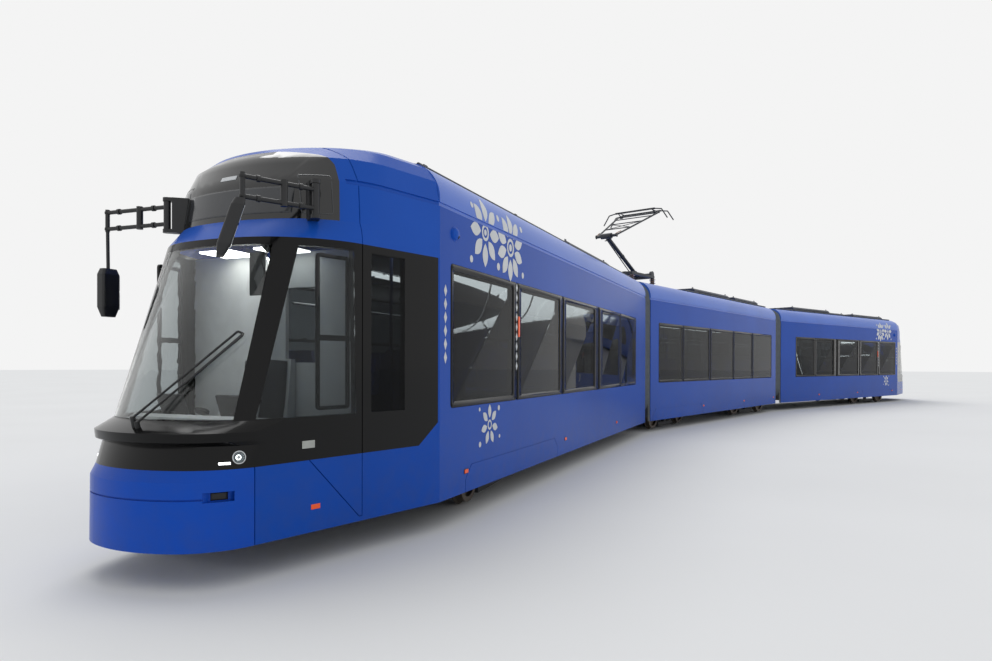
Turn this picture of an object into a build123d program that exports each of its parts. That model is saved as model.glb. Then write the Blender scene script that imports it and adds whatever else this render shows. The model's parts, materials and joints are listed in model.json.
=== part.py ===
from build123d import *
import math
import os

# Three-section low-floor tram with four pivoting bogies, standing in a left-hand curve.
# Millimetres. +X is forward, +Y is left, +Z is up. The origin is on the track's centre line,
# under the middle of the middle section, at the lowest point of the wheel flanges.
# An end section is modelled outwards from its pivot: X runs from the pivot to the nose.
# The rear section is the front one mirrored end for end, so its doors are on the right as well.

os.makedirs("parts", exist_ok=True)

# Wheels and track
gauge = 1435.0
wheel_radius = 300.0
wheel_width = 110.0
flange_height = 26.0
flange_width = 30.0
gauge_play = 5.0
web_width = 45.0
rim_depth = 55.0
hub_radius = 110.0
axle_radius = 65.0
wheelbase = 1780.0
rail_top = flange_height

# Section lengths and widths
body_width = 2300.0
half_width = body_width / 2
wall = 60.0
end_length = 11920.0
middle_length = 9560.0
gangway_gap = 660.0
front_yaw = 15.08
rear_yaw = -12.12

# Heights above the flange tips
skirt_bottom = rail_top + 220.0
floor_top = rail_top + 360.0
floor_thickness = 60.0
podium_top = rail_top + 700.0
mask_bottom = rail_top + 745.0
window_bottom = rail_top + 1038.0
window_top = rail_top + 2360.0
mask_top = rail_top + 2375.0
ceiling_bottom = rail_top + 2500.0
gutter = rail_top + 2835.0
roof_edge = rail_top + 3250.0
roof_crown = rail_top + 3290.0
roof_radius = 350.0
roof_shell = 40.0

# Nose, measured back from its tip
taper_length = 2300.0
taper_angle = 14.33
bumper_seam = 506.0
mask_chamfer = 2045.0
mask_back = 2279.0
mask_chamfer_top = rail_top + 929.0
glass_thickness = 12.0

display_bottom = rail_top + 2540.0
crown_half = 490.0


# Half width of the rounded roof at one height
def roof_half(height):
    rise = height - roof_edge + roof_radius
    return half_width - roof_radius + math.sqrt(roof_radius**2 - rise**2)


# Nose outlines, bottom to top: height, setback of the front, front radius, corner radius, half width
nose_levels = [
    (skirt_bottom, 50.0, 1000.0, 550.0, half_width),
    (rail_top + 675.0, 55.0, 1000.0, 560.0, half_width),
    (mask_bottom, 108.0, 1000.0, 540.0, half_width),
    (rail_top + 896.0, 170.0, 1050.0, 520.0, half_width),
    (rail_top + 925.0, 100.0, 1000.0, 550.0, half_width),
    (rail_top + 985.0, 90.0, 1000.0, 550.0, half_width),
    (rail_top + 1055.0, 252.0, 950.0, 600.0, half_width),
    (mask_top, 810.0, 1800.0, 800.0, half_width),
]
dome_levels = [
    (mask_top, 810.0, 1800.0, 800.0, half_width),
    (display_bottom, 990.0, 1800.0, 800.0, half_width),
    (rail_top + 2850.0, 1045.0, 1700.0, 750.0, half_width),
    (rail_top + 3050.0, 1160.0, 1500.0, 700.0, roof_half(rail_top + 3050.0)),
    (rail_top + 3170.0, 1310.0, 1300.0, 600.0, roof_half(rail_top + 3170.0)),
    (rail_top + 3240.0, 1560.0, 1100.0, 480.0, roof_half(rail_top + 3240.0)),
    (roof_crown - 15.0, 1850.0, 900.0, 300.0, crown_half),
]

# Windows in the side walls. Columns: ends of each pane, measured back from the nose tip
end_panes_left = [(2507, 4074), (4234, 5742), (5955, 7500), (7954, 9270), (9310, 10640)]
end_panes_right = [(2507, 4074), (4234, 5742), (7954, 9270), (9310, 10640)]
end_double_door = (6060, 7360)
end_ribbons_left = [(2507, 10640)]
end_ribbons_right = [(2507, 5742), (7954, 10640)]
# The same for the middle section, measured back from the front pivot
middle_panes_left = [(730, 2030), (2070, 3680), (3780, 5410), (5450, 6950), (7030, 8800)]
middle_panes_right = [(730, 2030), (2070, 3260), (6300, 7530), (7570, 8800)]
middle_ribbons_left = [(730, 8800)]
middle_ribbons_right = [(730, 3260), (6300, 8800)]
middle_double_doors = [(3370, 4670), (4890, 6190)]
pane_lip = 60.0
pane_gap = 3.0
pane_corner = 40.0

# Doors
door_bottom = rail_top + 290.0
door_top = window_top
door_thickness = 40.0
door_lip = 20.0
door_gap = 6.0
leaf_frame = 90.0
leaf_glass_bottom = rail_top + 560.0
single_door = (1490.0, 2230.0)

# Bogies. Place on the section and their turn in the curve
end_bogie_back = 4245.0
middle_bogie_offset = 1870.0
bogie_turns = {"front_bogie": 6.7, "middle_front_bogie": 5.0, "middle_rear_bogie": -5.0, "rear_bogie": -5.5}
hatch_length = 2840.0
end_well = 1440.0
riser = 30.0
pivot_height = 40.0
bolster_radius = 220.0
frame_half_length = 1160.0
side_beam_y = 490.0
side_beam_width = 120.0
side_beam_bottom = rail_top + 250.0
side_beam_top = rail_top + 450.0
transom_length = 560.0
journal_gap = 0.1
pivot_radius = 160.0
pivot_gap = 0.3
kingpin_radius = 70.0
kingpin_play = 10.0

# Lengths used by several pieces
half_gap = gangway_gap / 2
kink = end_length - taper_length
inner_half = half_width - wall
axle_height = rail_top + wheel_radius
end_place = {
    "front": Location((middle_length / 2, 0, 0), (0, 0, front_yaw)),
    "rear": Location((-middle_length / 2, 0, 0), (0, 0, rear_yaw)),
}
outer_left = Plane(origin=(0, half_width, 0), x_dir=(1, 0, 0), z_dir=(0, -1, 0))
taper_left = Plane(
    origin=(kink, half_width, 0),
    x_dir=(math.cos(math.radians(taper_angle)), -math.sin(math.radians(taper_angle)), 0),
    z_dir=(-math.sin(math.radians(taper_angle)), -math.cos(math.radians(taper_angle)), 0),
)


def write(shape, node):
    shape.label = node
    export_step(shape, f"parts/{node}.step", write_pcurves=False)


# Both ends are written from one model: the rear one is mirrored end for end
def write_ends(shape, name):
    write(end_place["front"] * shape, f"front_{name}")
    write(end_place["rear"] * mirror(shape, about=Plane.YZ), f"rear_{name}")


# Outline of the nose at one level, pulled in by an inset, with its back edge at the kink
def nose_outline(level, inset):
    height, setback, front_radius, corner_radius, side = level
    angle = math.radians(taper_angle)
    normal = Vector(math.sin(angle), math.cos(angle))
    along = Vector(math.cos(angle), -math.sin(angle))
    front_centre = Vector(end_length - setback - front_radius, 0)
    foot = Vector(kink, side) - normal * corner_radius
    reach = front_radius - corner_radius
    offset_to = foot - front_centre
    lean = offset_to.dot(along)
    shift = -lean + math.sqrt(lean**2 - offset_to.dot(offset_to) + reach**2)
    corner = foot + along * shift
    outwards = (corner - front_centre).normalized()
    between = (outwards + normal).normalized()
    side_end = corner + normal * (corner_radius - inset)
    corner_middle = corner + between * (corner_radius - inset)
    front_end = corner + outwards * (corner_radius - inset)
    tip = Vector(end_length - setback - inset, 0)
    back = Vector(kink, side - inset / math.cos(angle))
    with BuildSketch(Plane.XY.offset(height)) as outline:
        with BuildLine():
            Line(back, side_end)
            ThreePointArc(side_end, corner_middle, front_end)
            ThreePointArc(front_end, tip, Vector(front_end.X, -front_end.Y))
            ThreePointArc(
                Vector(front_end.X, -front_end.Y),
                Vector(corner_middle.X, -corner_middle.Y),
                Vector(side_end.X, -side_end.Y),
            )
            Line(Vector(side_end.X, -side_end.Y), Vector(back.X, -back.Y))
            Line(Vector(back.X, -back.Y), back)
        make_face()
    return outline.sketch


# Solid nose, pulled in by an inset: the upright part and the dome over it
def nose_body(inset):
    base, top = dome_levels[0][0], dome_levels[-1][0]
    sunk = [(z - inset * (z - base) / (top - base), *rest) for z, *rest in dome_levels]
    with BuildPart() as body:
        loft([nose_outline(level, inset) for level in nose_levels], ruled=True)
        loft([nose_outline(level, inset) for level in sunk], ruled=True)
    return body.part


# Prism across the whole nose over a side-view outline, given as setbacks and heights
def side_prism(points):
    with BuildPart() as prism:
        with BuildSketch(Plane.XZ.offset(-body_width)):
            with BuildLine():
                Polyline([(end_length - s, z) for s, z in points], close=True)
            make_face()
        extrude(amount=2 * body_width)
    return prism.part


ahead = -300.0
above = roof_edge + 500.0
nose_outer = nose_body(0)
nose_inner = nose_body(wall)
nose_shell = nose_outer - nose_inner
left_side = Box(3 * end_length, 2 * body_width, 3 * above, align=(Align.CENTER, Align.MIN, Align.CENTER))
right_side = mirror(left_side, about=Plane.XZ)
nose_skin = nose_outer - nose_body(glass_thickness)
bumper_region = side_prism(
    [(bumper_seam, 0), (bumper_seam, mask_bottom), (ahead, mask_bottom), (ahead, 0)]
)
mask_region = side_prism(
    [
        (mask_back, mask_top),
        (mask_back, mask_chamfer_top),
        (mask_chamfer, mask_bottom),
        (ahead, mask_bottom),
        (ahead, mask_top),
    ]
)
hood_region = side_prism(
    [(taper_length, above), (taper_length, mask_top), (ahead, mask_top), (ahead, above)]
)

# Openings in the nose: windscreen from the front, side panes from the side, display over the dome
windscreen_bottom = window_bottom + 22.0
windscreen_top = mask_top - 60.0
windscreen_half = 565.0
windscreen_top_half = 515.0
cab_pane = [
    (540.0, windscreen_bottom),
    (1370.0, windscreen_bottom),
    (1345.0, windscreen_top),
    (955.0, windscreen_top),
]
display_outline = [
    (ahead, display_bottom),
    (1295.0, display_bottom),
    (1310.0, rail_top + 2860.0),
    (1335.0, rail_top + 2990.0),
    (1325.0, rail_top + 3080.0),
    (1285.0, rail_top + 3135.0),
    (ahead, rail_top + 3135.0),
]
tall_pane = [
    (1520.0, windscreen_bottom),
    (1880.0, windscreen_bottom),
    (1880.0, windscreen_top),
    (1520.0, windscreen_top),
]
with BuildPart() as windscreen_cut:
    with BuildSketch(Plane.YZ.offset(end_length - 900)):
        with BuildLine():
            Polyline(
                (-windscreen_half, windscreen_bottom),
                (windscreen_half, windscreen_bottom),
                (windscreen_top_half, windscreen_top),
                (-windscreen_top_half, windscreen_top),
                close=True,
            )
        make_face()
    extrude(amount=1200)
display_cut = side_prism(display_outline)


# Opening in one or both tapered sides of the nose, over an outline of setbacks and heights
def taper_cut(points, sides):
    squeeze = 1 / math.cos(math.radians(taper_angle))
    with BuildPart() as cut:
        with BuildSketch(taper_left):
            with BuildLine():
                Polyline([((taper_length - s) * squeeze, z) for s, z in points], close=True)
            make_face()
        extrude(amount=wall + 200, both=True)
    shapes = []
    if 1 in sides:
        shapes.append(cut.part)
    if -1 in sides:
        shapes.append(mirror(cut.part, about=Plane.XZ))
    return shapes


door_outline = [
    (single_door[0], door_bottom),
    (single_door[1], door_bottom),
    (single_door[1], door_top),
    (single_door[0], door_top),
]


# Grows an outline of setbacks and heights that is a rectangle
def grown(points, by):
    low_s = min(s for s, z in points) - by
    high_s = max(s for s, z in points) + by
    low_z = min(z for s, z in points) - by
    high_z = max(z for s, z in points) + by
    return [(low_s, low_z), (high_s, low_z), (high_s, high_z), (low_s, high_z)]


door_cut = taper_cut(grown(door_outline, -door_lip), [-1])
door_rebate_skin = nose_outer - nose_body(door_thickness)
door_rebate = taper_cut(door_outline, [-1])
door_leaf_cut = taper_cut(grown(door_outline, -door_gap), [-1])
door_glass_outline = [
    (single_door[0] + leaf_frame, leaf_glass_bottom),
    (single_door[1] - leaf_frame, leaf_glass_bottom),
    (single_door[1] - leaf_frame, door_top - leaf_frame),
    (single_door[0] + leaf_frame, door_top - leaf_frame),
]
door_glass_cut = taper_cut(door_glass_outline, [-1])

cab_cuts = taper_cut(cab_pane, [1, -1])
tall_cuts = taper_cut(tall_pane, [1])

# Panel seams cut in the nose's skin. Columns: start and end, each a setback and a height
seam_width = 8.0
access_low = rail_top + 259.0
seam_lines = [
    ((bumper_seam + seam_width / 2, skirt_bottom - 10), (bumper_seam + seam_width / 2, mask_bottom)),
    ((943.0, mask_bottom), (1400.0, access_low)),
    ((1400.0, access_low), (1430.0, access_low)),
    ((1430.0, access_low - seam_width / 2), (1430.0, roof_crown + 50)),
    ((taper_length - seam_width / 2, gutter), (taper_length - seam_width / 2, roof_crown + 50)),
]


# Narrow strip between two places in the side view
def seam_strip(start, end, width):
    along = Vector(end[0] - start[0], end[1] - start[1]).normalized()
    aside = Vector(-along.Y, along.X) * (width / 2)
    return [
        (start[0] + aside.X, start[1] + aside.Y),
        (end[0] + aside.X, end[1] + aside.Y),
        (end[0] - aside.X, end[1] - aside.Y),
        (start[0] - aside.X, start[1] - aside.Y),
    ]


with BuildPart() as nose_seams:
    for start, end in seam_lines:
        add(nose_skin & side_prism(seam_strip(start, end, seam_width)))

# Channel under the roof's edge, which runs on round the nose
channel_height = 38.0
channel_front = 1350.0
with BuildPart() as nose_channel:
    add(nose_skin & side_prism([
        (channel_front, gutter), (taper_length, gutter),
        (taper_length, gutter + channel_height), (channel_front, gutter + channel_height),
    ]))

# Bumper groove and, at each end of it, a deeper slot
groove_low = rail_top + 555.0
groove_high = rail_top + 567.0
groove_half = 520.0
slot_low = rail_top + 540.0
slot_high = rail_top + 605.0
slot_half = 643.0
with BuildPart() as bumper_groove:
    with BuildSketch(Plane.XY.offset(groove_low)):
        with Locations((end_length, 0)):
            Rectangle(2 * bumper_seam, 2 * groove_half)
    extrude(amount=groove_high - groove_low)
    add(nose_skin, mode=Mode.INTERSECT)

with BuildPart() as bumper_slots:
    with BuildSketch(Plane.XY.offset(slot_low)):
        with Locations((end_length, 0)):
            Rectangle(2 * bumper_seam, 2 * slot_half)
            Rectangle(2 * bumper_seam, 2 * groove_half, mode=Mode.SUBTRACT)
    extrude(amount=slot_high - slot_low)
    add(door_rebate_skin, mode=Mode.INTERSECT)

with BuildPart() as bumper:
    add(nose_shell & bumper_region)
    add(bumper_groove.part, mode=Mode.SUBTRACT)
    add(bumper_slots.part, mode=Mode.SUBTRACT)
write_ends(bumper.part, "nose_bumper")

# Headlamps: a bowl with a small projector, flush in the lamp band
lamp_radius = 44.0
lamp_depth = 50.0
lamp_rim = 6.0
lamp_proud = 3.0
lamp_gap = 0.1
lamp_turn = 58.0
lamp_tilt = 7.0
lamp_at = (end_length - 420.0, 641.0, rail_top + 820.0)


def lamp_plane():
    level = math.cos(math.radians(lamp_tilt))
    turn = math.radians(lamp_turn)
    outwards = (level * math.cos(turn), level * math.sin(turn), math.sin(math.radians(lamp_tilt)))
    return Plane(origin=lamp_at, x_dir=(-math.sin(turn), math.cos(turn), 0), z_dir=outwards)


with BuildPart() as lamp_hole:
    with BuildSketch(lamp_plane()):
        Circle(lamp_radius + lamp_gap)
    extrude(amount=2 * wall, both=True)

with BuildPart() as lamp:
    with BuildSketch(Plane.XZ):
        with BuildLine():
            Polyline(
                (0, -lamp_depth),
                (lamp_radius, -lamp_depth),
                (lamp_radius, lamp_proud),
                (lamp_radius - lamp_rim, lamp_proud),
                (lamp_radius * 0.7, -lamp_depth * 0.5),
                (lamp_radius * 0.4, -lamp_depth * 0.7),
                (lamp_radius * 0.4, -lamp_depth * 0.4),
                (0, -lamp_depth * 0.2),
                close=True,
            )
        make_face()
    revolve(axis=Axis.Z)

with BuildPart() as lamps:
    add(lamp_plane().location * lamp.part)
    mirror(about=Plane.XZ)
write_ends(lamps.part, "lamps")

with BuildPart() as mask:
    add(nose_shell & mask_region)
    add(windscreen_cut.part, mode=Mode.SUBTRACT)
    for cut in cab_cuts + tall_cuts + door_cut:
        add(cut, mode=Mode.SUBTRACT)
    for cut in door_rebate:
        add(door_rebate_skin & cut, mode=Mode.SUBTRACT)
    add(nose_seams.part, mode=Mode.SUBTRACT)
    add(lamp_hole.part, mode=Mode.SUBTRACT)
    add(mirror(lamp_hole.part, about=Plane.XZ), mode=Mode.SUBTRACT)
write_ends(mask.part, "nose_mask")

with BuildPart() as hood:
    add(nose_shell & hood_region)
    add(display_cut, mode=Mode.SUBTRACT)
    add(nose_seams.part, mode=Mode.SUBTRACT)
    add(nose_channel.part, mode=Mode.SUBTRACT)
write_ends(hood.part, "nose_hood")

with BuildPart() as windscreen:
    add(nose_skin & mask_region & windscreen_cut.part)
    add(nose_skin & hood_region & display_cut)
write_ends(windscreen.part, "windscreen")


# Pane outline on the left wall between two places along it
def pane_sketch(low, high, bottom, top, inset, corner):
    with BuildSketch(outer_left) as sketch:
        with Locations(((low + high) / 2, (bottom + top) / 2)):
            RectangleRounded(high - low - 2 * inset, top - bottom - 2 * inset, corner)
    return sketch.sketch


# Straight side wall on the left, with rebated windows, rebated doors and bogie hatches
def straight_wall(low, high, panes, ribbons, doors, hatches):
    with BuildPart() as wall_part:
        with BuildSketch(outer_left):
            with Locations(((low + high) / 2, (skirt_bottom + gutter) / 2)):
                Rectangle(high - low, gutter - skirt_bottom)
        extrude(amount=wall)
        for near, far in ribbons:
            extrude(pane_sketch(near, far, window_bottom, window_top, 0, pane_corner),
                    amount=glass_thickness, mode=Mode.SUBTRACT)
        for near, far in panes:
            extrude(pane_sketch(near, far, window_bottom, window_top, pane_lip, pane_corner),
                    amount=wall, mode=Mode.SUBTRACT)
        for near, far in doors:
            extrude(pane_sketch(near, far, door_bottom, door_top, 0, 1),
                    amount=door_thickness, mode=Mode.SUBTRACT)
            extrude(pane_sketch(near, far, door_bottom, door_top, door_lip, 1),
                    amount=wall, mode=Mode.SUBTRACT)
        for middle, reach_low, reach_high in hatches:
            with BuildSketch(outer_left):
                add(hatch_face(middle, reach_low, reach_high, 0))
                add(hatch_face(middle, reach_low, reach_high, groove_width), mode=Mode.SUBTRACT)
            extrude(amount=groove_depth, mode=Mode.SUBTRACT)
    return wall_part.part


hatch_top = rail_top + 480.0
hatch_slope = 140.0
groove_width = 10.0
groove_depth = 6.0


# Bogie hatch: upright lower edges, slanted upper corners
def hatch_face(middle, reach_low, reach_high, inset):
    with BuildSketch() as face:
        with BuildLine():
            Polyline(
                (middle - reach_low + inset, skirt_bottom - 50),
                (middle - reach_low + inset, hatch_top - hatch_slope),
                (middle - reach_low + hatch_slope + inset / 2, hatch_top - inset),
                (middle + reach_high - hatch_slope - inset / 2, hatch_top - inset),
                (middle + reach_high - inset, hatch_top - hatch_slope),
                (middle + reach_high - inset, skirt_bottom - 50),
                close=True,
            )
        make_face()
    return face.sketch


def from_nose(pairs):
    return [(end_length - far, end_length - near) for near, far in pairs]


def from_pivot(pairs):
    return [(middle_length / 2 - far, middle_length / 2 - near) for near, far in pairs]


end_bogie_x = end_length - end_bogie_back
middle_bogie_x = middle_length / 2 - middle_bogie_offset
end_left_panes = from_nose(end_panes_left)
end_right_panes = from_nose(end_panes_right)
end_left_ribbons = from_nose(end_ribbons_left)
end_right_ribbons = from_nose(end_ribbons_right)
end_doors = from_nose([end_double_door])
middle_left_panes = from_pivot(middle_panes_left)
middle_right_panes = from_pivot(middle_panes_right)
middle_left_ribbons = from_pivot(middle_ribbons_left)
middle_right_ribbons = from_pivot(middle_ribbons_right)
middle_doors = from_pivot(middle_double_doors)
end_hatch = [(end_bogie_x, hatch_length / 2, hatch_length / 2)]
middle_hatches = [(x, hatch_length / 2, hatch_length / 2) for x in (middle_bogie_x, -middle_bogie_x)]
skirt_part = nose_shell - bumper_region - mask_region - hood_region

with BuildPart() as end_left:
    add(straight_wall(half_gap, kink, end_left_panes, end_left_ribbons, [], end_hatch))
    add(skirt_part & left_side)
    add(nose_seams.part, mode=Mode.SUBTRACT)
write_ends(end_left.part, "side_left")

with BuildPart() as end_right:
    add(mirror(straight_wall(half_gap, kink, end_right_panes, end_right_ribbons, end_doors, end_hatch),
               about=Plane.XZ))
    add(skirt_part & right_side)
    add(nose_seams.part, mode=Mode.SUBTRACT)
    for cut in door_cut:
        add(cut, mode=Mode.SUBTRACT)
    for cut in door_rebate:
        add(door_rebate_skin & cut, mode=Mode.SUBTRACT)
write_ends(end_right.part, "side_right")

middle_low = half_gap - middle_length / 2
with BuildPart() as middle_left:
    add(straight_wall(middle_low, -middle_low, middle_left_panes, middle_left_ribbons, [],
                      middle_hatches))
write(middle_left.part, "middle_side_left")

with BuildPart() as middle_right:
    add(mirror(straight_wall(middle_low, -middle_low, middle_right_panes, middle_right_ribbons,
                             middle_doors, middle_hatches), about=Plane.XZ))
write(middle_right.part, "middle_side_right")


# Ends of each bonded pane: a ribbon is parted at the middle of each pillar behind it
def bonded_panes(panes, ribbons):
    spans = []
    for low, high in ribbons:
        inside = sorted(pane for pane in panes if low <= pane[0] < high)
        joints = [(here[1] + beyond[0]) / 2 for here, beyond in zip(inside, inside[1:])]
        edges = [low] + joints + [high]
        spans += zip(edges, edges[1:])
    return spans


# Window panes of one wall, and the panes of its door leaves
def wall_glass(panes, ribbons, doors):
    with BuildPart() as glass:
        for near, far in bonded_panes(panes, ribbons):
            extrude(pane_sketch(near, far, window_bottom, window_top, pane_gap, pane_corner),
                    amount=glass_thickness)
        for near, far in doors:
            for low, high in leaf_spans(near, far):
                extrude(pane_sketch(low, high, leaf_glass_bottom, door_top - leaf_frame,
                                    leaf_frame, pane_corner), amount=glass_thickness)
    return glass.part


# The two leaves of a double door
def leaf_spans(near, far):
    middle = (near + far) / 2
    return [(near + door_gap, middle - door_gap / 2), (middle + door_gap / 2, far - door_gap)]


def door_leaves(doors):
    with BuildPart() as leaves:
        for near, far in doors:
            for low, high in leaf_spans(near, far):
                extrude(pane_sketch(low, high, door_bottom + door_gap, door_top - door_gap, 0, 1),
                        amount=door_thickness)
                extrude(pane_sketch(low, high, leaf_glass_bottom, door_top - leaf_frame,
                                    leaf_frame, pane_corner),
                        amount=door_thickness, mode=Mode.SUBTRACT)
    return leaves.part


with BuildPart() as end_glass:
    add(wall_glass(end_left_panes, end_left_ribbons, []))
    add(mirror(wall_glass(end_right_panes, end_right_ribbons, end_doors), about=Plane.XZ))
    for cut in cab_cuts + tall_cuts:
        add(nose_skin & mask_region & cut)
    for cut in door_glass_cut:
        add(nose_skin & cut)
write_ends(end_glass.part, "glass")

with BuildPart() as middle_glass:
    add(wall_glass(middle_left_panes, middle_left_ribbons, []))
    add(mirror(wall_glass(middle_right_panes, middle_right_ribbons, middle_doors), about=Plane.XZ))
write(middle_glass.part, "middle_glass")

with BuildPart() as end_door_leaves:
    add(mirror(door_leaves(end_doors), about=Plane.XZ))
    for cut in door_leaf_cut:
        add(door_rebate_skin & cut)
    for cut in door_glass_cut:
        add(cut, mode=Mode.SUBTRACT)
write_ends(end_door_leaves.part, "doors")

with BuildPart() as middle_door_leaves:
    add(mirror(door_leaves(middle_doors), about=Plane.XZ))
write(middle_door_leaves.part, "middle_doors")


# Roof: a rounded shell over a ceiling tray, closed at its gangway ends
def roof_outline(place):
    spring = roof_edge - roof_radius
    with BuildSketch(place) as outline:
        with BuildLine():
            Polyline(
                (half_width, spring),
                (half_width, gutter + channel_height),
                (half_width - glass_thickness, gutter + channel_height),
                (half_width - glass_thickness, gutter),
                (inner_half, gutter),
                (inner_half, ceiling_bottom),
                (-inner_half, ceiling_bottom),
                (-inner_half, gutter),
                (glass_thickness - half_width, gutter),
                (glass_thickness - half_width, gutter + channel_height),
                (-half_width, gutter + channel_height),
                (-half_width, spring),
            )
            CenterArc((half_width - roof_radius, spring), roof_radius, 0, 90)
            CenterArc((roof_radius - half_width, spring), roof_radius, 90, 90)
            ThreePointArc((half_width - roof_radius, roof_edge), (0, roof_crown),
                          (roof_radius - half_width, roof_edge))
        make_face()
    return outline.sketch


def roof_cavity(place):
    low = ceiling_bottom + roof_shell
    high = roof_edge - roof_shell
    with BuildSketch(place) as cavity:
        with Locations((0, (low + high) / 2)):
            Rectangle(2 * (inner_half - roof_shell), high - low)
        fillet(cavity.vertices().group_by(Axis.Y)[-1], roof_radius - wall - roof_shell)
    return cavity.sketch


def roof(low, high, closed_high):
    inner_high = high - roof_shell if closed_high else high
    with BuildPart() as roof_part:
        extrude(roof_outline(Plane.YZ.offset(low)), amount=high - low)
        extrude(roof_cavity(Plane.YZ.offset(low + roof_shell)),
                amount=inner_high - low - roof_shell, mode=Mode.SUBTRACT)
    return roof_part.part


write_ends(roof(half_gap, kink, False), "roof")
write(roof(middle_low, -middle_low, True), "middle_roof")

# Floors with portals and knuckles
plate_radius = 650.0
plate_gap = 8.0
portal_thickness = 60.0
portal_half = 700.0
portal_top = rail_top + 2260.0
tongue_radius = 180.0
tongue_thickness = 36.0
tongue_reach = 700.0
crossbeam = 1200.0
knuckle_pin = 60.0
knuckle_gap = 0.1
lower_tongue = rail_top + 225.0
upper_tongue = lower_tongue + tongue_thickness + 0.3
well_bottom = podium_top - floor_thickness
panel_gap = 0.3
floor_bottom = floor_top - floor_thickness


# Floor slab over a plan outline, raised over each bogie
def floor_slab(plan, wells, pivots):
    with BuildPart() as slab:
        with BuildSketch(Plane.XY.offset(floor_bottom)):
            with BuildLine():
                Polyline(plan, close=True)
            make_face()
        extrude(amount=floor_thickness)
        for centre, low, high in wells:
            with BuildSketch(Plane.XY.offset(floor_bottom)):
                with Locations(((low + high) / 2, 0)):
                    Rectangle(high - low, 2 * inner_half)
            extrude(amount=podium_top - floor_bottom)
            with BuildSketch(Plane.XY.offset(floor_bottom)):
                with Locations(((low + high) / 2, 0)):
                    Rectangle(high - low - 2 * riser, 2 * inner_half)
            extrude(amount=well_bottom - floor_bottom, mode=Mode.SUBTRACT)
            with BuildSketch(Plane.XY.offset(side_beam_top + pivot_height + pivot_gap)):
                with Locations((centre, 0)):
                    Circle(bolster_radius)
                    Circle(kingpin_radius + journal_gap, mode=Mode.SUBTRACT)
            extrude(amount=well_bottom - side_beam_top - pivot_height - pivot_gap)
        for pivot in pivots:
            direction = 1 if pivot < 0 or plan[0][0] > 0 else -1
            face = pivot + direction * half_gap
            with BuildSketch(Plane.YZ.offset(face if direction > 0 else face - portal_thickness)):
                with Locations((0, (floor_bottom + ceiling_bottom) / 2)):
                    Rectangle(2 * inner_half, ceiling_bottom - floor_bottom)
                with Locations((0, (floor_bottom + portal_top) / 2)):
                    Rectangle(2 * portal_half, portal_top - floor_bottom, mode=Mode.SUBTRACT)
            extrude(amount=portal_thickness)
            with BuildSketch(Plane.XY.offset(floor_bottom)):
                with Locations((pivot, 0)):
                    Circle(plate_radius + plate_gap)
            extrude(amount=floor_thickness, mode=Mode.SUBTRACT)
    return slab.part


taper_tan = math.tan(math.radians(taper_angle))
cab_floor_end = 760.0
cab_floor_half = inner_half - 3 - (taper_length - cab_floor_end) * taper_tan
end_plan = [
    (half_gap, -inner_half),
    (kink - 10, -inner_half),
    (kink, 3 - inner_half),
    (end_length - cab_floor_end, -cab_floor_half),
    (end_length - cab_floor_end, cab_floor_half),
    (kink, inner_half - 3),
    (kink - 10, inner_half),
    (half_gap, inner_half),
]
middle_plan = [
    (middle_low, -inner_half),
    (-middle_low, -inner_half),
    (-middle_low, inner_half),
    (middle_low, inner_half),
]
with BuildPart() as end_floor:
    add(floor_slab(end_plan, [(end_bogie_x, end_bogie_x - end_well, end_bogie_x + end_well)], [0.0]))
    with BuildSketch(Plane.XY.offset(upper_tongue)):
        with Locations(((half_gap + tongue_reach) / 2, 0)):
            Rectangle(half_gap + tongue_reach, 2 * tongue_radius)
        Circle(tongue_radius)
        with Locations((half_gap + tongue_reach / 2, 0)):
            Rectangle(tongue_reach, crossbeam)
        Circle(knuckle_pin + knuckle_gap, mode=Mode.SUBTRACT)
    extrude(amount=floor_bottom - upper_tongue)
    with BuildSketch(Plane.XY.offset(floor_bottom)):
        with Locations((end_bogie_x, 0)):
            with GridLocations(2 * end_well + panel_gap, 0, 2, 1):
                Rectangle(panel_gap, body_width)
    extrude(amount=floor_thickness, mode=Mode.SUBTRACT)
write_ends(end_floor.part, "floor")

with BuildPart() as middle_floor:
    portal_back = -middle_low - portal_thickness
    wells = [(middle_bogie_x, middle_bogie_x - end_well, portal_back + riser),
             (-middle_bogie_x, -portal_back - riser, end_well - middle_bogie_x)]
    add(floor_slab(middle_plan, wells, [-middle_length / 2, middle_length / 2]))
    for side in (-1, 1):
        pivot = side * middle_length / 2
        with BuildSketch(Plane.XY.offset(lower_tongue)):
            with Locations((pivot - side * (half_gap + portal_thickness) / 2, 0)):
                Rectangle(half_gap + portal_thickness, 2 * tongue_radius)
            with Locations((pivot, 0)):
                Circle(tongue_radius)
        extrude(amount=tongue_thickness)
        with BuildSketch(Plane.XY.offset(lower_tongue)):
            with Locations((pivot - side * (half_gap + portal_thickness / 2), 0)):
                Rectangle(portal_thickness, crossbeam)
        extrude(amount=floor_bottom - lower_tongue)
        with BuildSketch(Plane.XY.offset(lower_tongue)):
            with Locations((pivot, 0)):
                Circle(knuckle_pin)
        extrude(amount=floor_bottom - lower_tongue)
        with BuildSketch(Plane.XY.offset(floor_bottom)):
            with Locations((pivot, 0)):
                Circle(plate_radius)
        extrude(amount=floor_thickness)
write(middle_floor.part, "middle_floor")

# Cab: driver's desk, seat and the wall behind, cut to the inside of the nose
cab_wall_back = 1530.0
cab_wall_front = 1490.0
desk_front = 640.0
desk_back = 1010.0
desk_top = rail_top + 1060.0
cab_window_across = 300.0
cab_window_height = rail_top + 1760.0
cab_window_width = 340.0
cab_window_tall = 620.0
desk_edge = 60.0
desk_slope = 20.0
desk_foot = 140.0
knee_height = 420.0
cab_clear = nose_body(wall + 4)
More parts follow.
